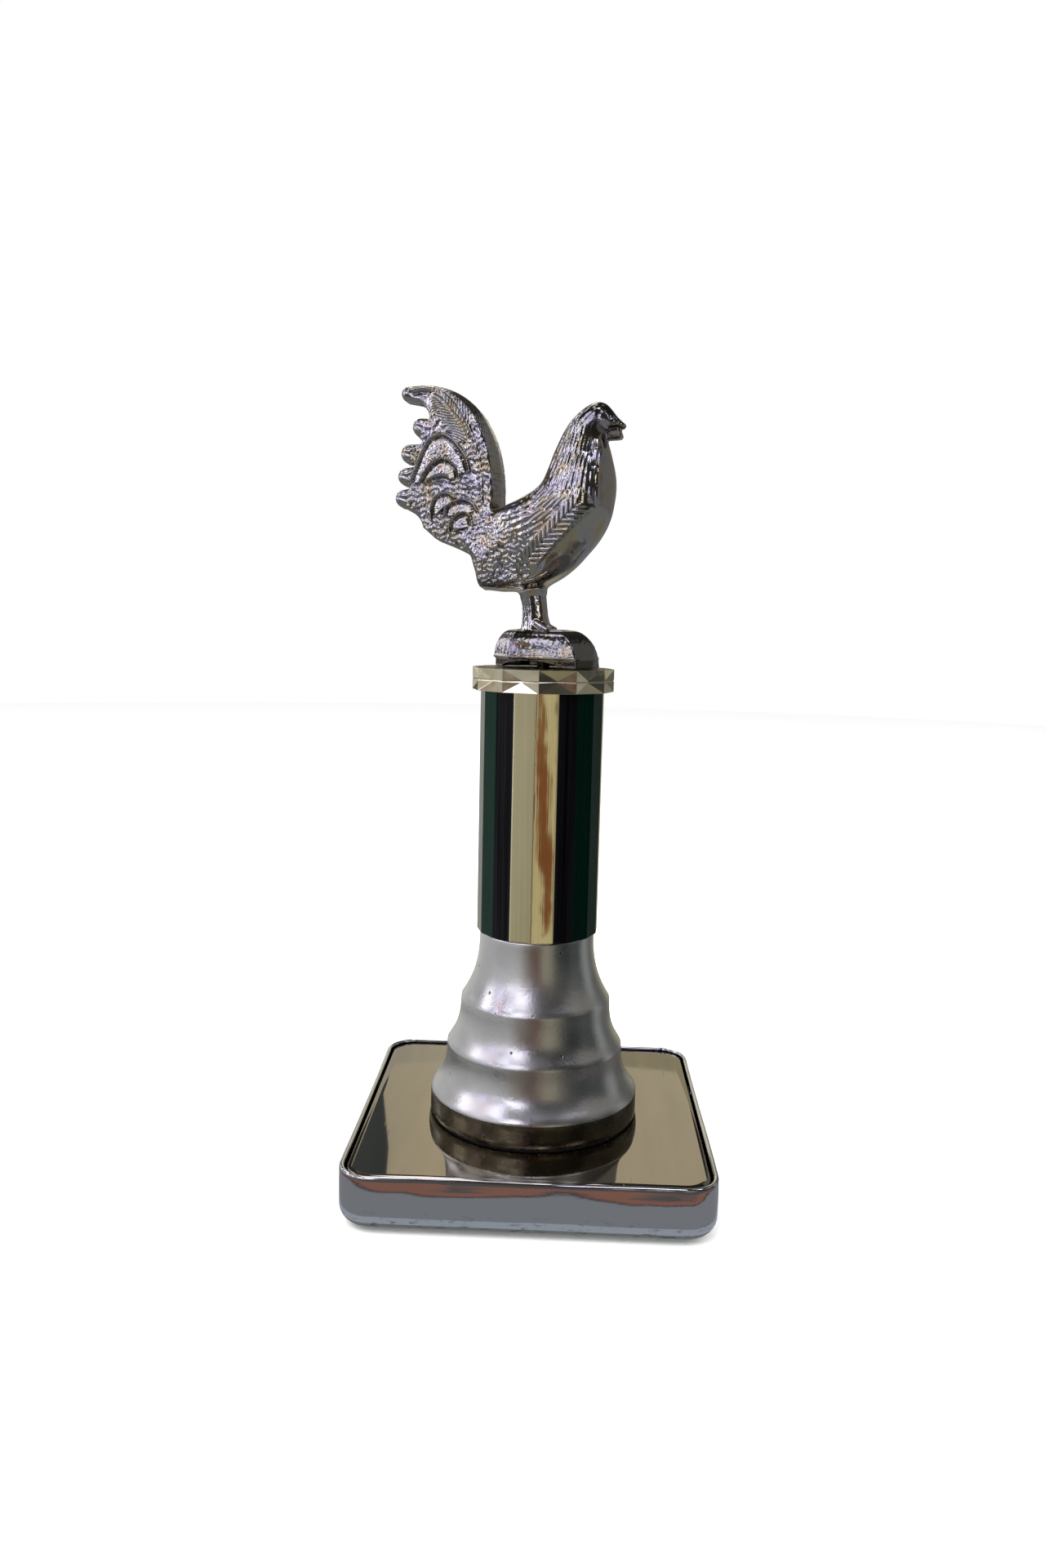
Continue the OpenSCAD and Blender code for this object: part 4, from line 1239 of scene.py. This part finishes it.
EYE = make_camera()
make_room()
make_counter()
make_floor()
card("window_left_high", 42, 33, 0.26, 0.24, "#dfe4ff", 3.4)
card("lamp_front_high", -12, 62, 0.3, 0.3, "#e9e6ff", 7)
card("lamp_right_high", -60, 48, 0.25, 0.4, "#f1eeff", 4)
card("spark_left", 62, 22, 0.12, 0.5, "#dcd6ff", 6)
card("spark_front", 14, 24, 0.1, 0.3, "#e8e2ff", 5)
card("warm_lamp", 60, 30, 0.34, 0.3, "#a8743f", 1.6)
card("pale_wall_right", -112, 18, 3.4, 1.6, "#85837e", 1.0)
card("back_lamp", 160, 55, 0.5, 0.5, "#fff4e4", 3)
soft_light("key", 40, 50, 0.9, 14)
soft_light("fill", -60, 40, 1.2, 8)
soft_light("rear", 170, 50, 1.0, 8)

# The gold flat on the right of the front corner, in millimetres
FLAT_OFF_AXIS, FLAT_WIDE = 22.45, 7.9
FLAT_TURN = math.radians(10 - COLUMN_TURN)
FLAT_OUT = Vector((math.sin(FLAT_TURN), -math.cos(FLAT_TURN), 0))
FLAT_ALONG = Vector((math.cos(FLAT_TURN), math.sin(FLAT_TURN), 0))
FLAT_MIDDLE = FLAT_OUT * FLAT_OFF_AXIS


def on_flat(*spots):
    """Spots on that flat: shares of its width from the left, and of its height from below."""
    low, tall = TUBE_LOW[2], TUBE_HIGH[2] - TUBE_LOW[2]
    return [FLAT_MIDDLE + FLAT_ALONG * (across - 0.5) * FLAT_WIDE + Vector((0, 0, low + up * tall))
            for across, up in spots]


def on_plate(*spots):
    """Spots on the plate's face, in millimetres from its middle."""
    return [(x, y, PLATE_HIGH[2]) for x, y in spots]


# That flat mirrors someone in brown, cut off slantwise, with a bright edge beside them.
BROWN = on_flat((0.1, 1.1), (0.32, 1.0), (0.45, 0.85), (0.68, 0.65), (0.72, 0.5), (0.9, 0.35), (0.93, 0.1),
                (0.6, 0.02), (0.5, 0.2), (0.18, 0.38), (0.12, 0.6))
patch("someone_in_brown", seen_in(FLAT_MIDDLE, FLAT_OUT, BROWN, 0.76), "#86563b", 0.95)
DOOR = on_flat((-0.1, 1.1), (1.1, 1.1), (1.1, -0.1), (-0.1, -0.1))
patch("bright_door", seen_in(FLAT_MIDDLE, FLAT_OUT, DOOR, 0.8), "#bdb7a3", 1.2)
# The plate mirrors a beige wall behind, with a dark cupboard on its left.
PLATE_FACE, UPRIGHT = (0, 0, PLATE_HIGH[2]), Vector((0, 0, 1))
WALL = on_plate((-90, -90), (90, -90), (110, 110), (-110, 110))
patch("beige_wall", seen_in(PLATE_FACE, UPRIGHT, WALL, 1.9), "#d2c8b2", 1.3)
CUPBOARD = on_plate((-90, -90), (-44, -90), (-50, -40), (-62, 20), (-90, 60))
patch("dark_cupboard", seen_in(PLATE_FACE, UPRIGHT, CUPBOARD, 1.8), "#596064", 0.9)

WORLD = bpy.data.worlds.new("studio")
WORLD.use_nodes = True
WORLD.node_tree.nodes["Background"].inputs["Color"].default_value = linear("#ffffff")
bpy.context.scene.world = WORLD
bpy.context.scene.view_settings.view_transform = "Standard"
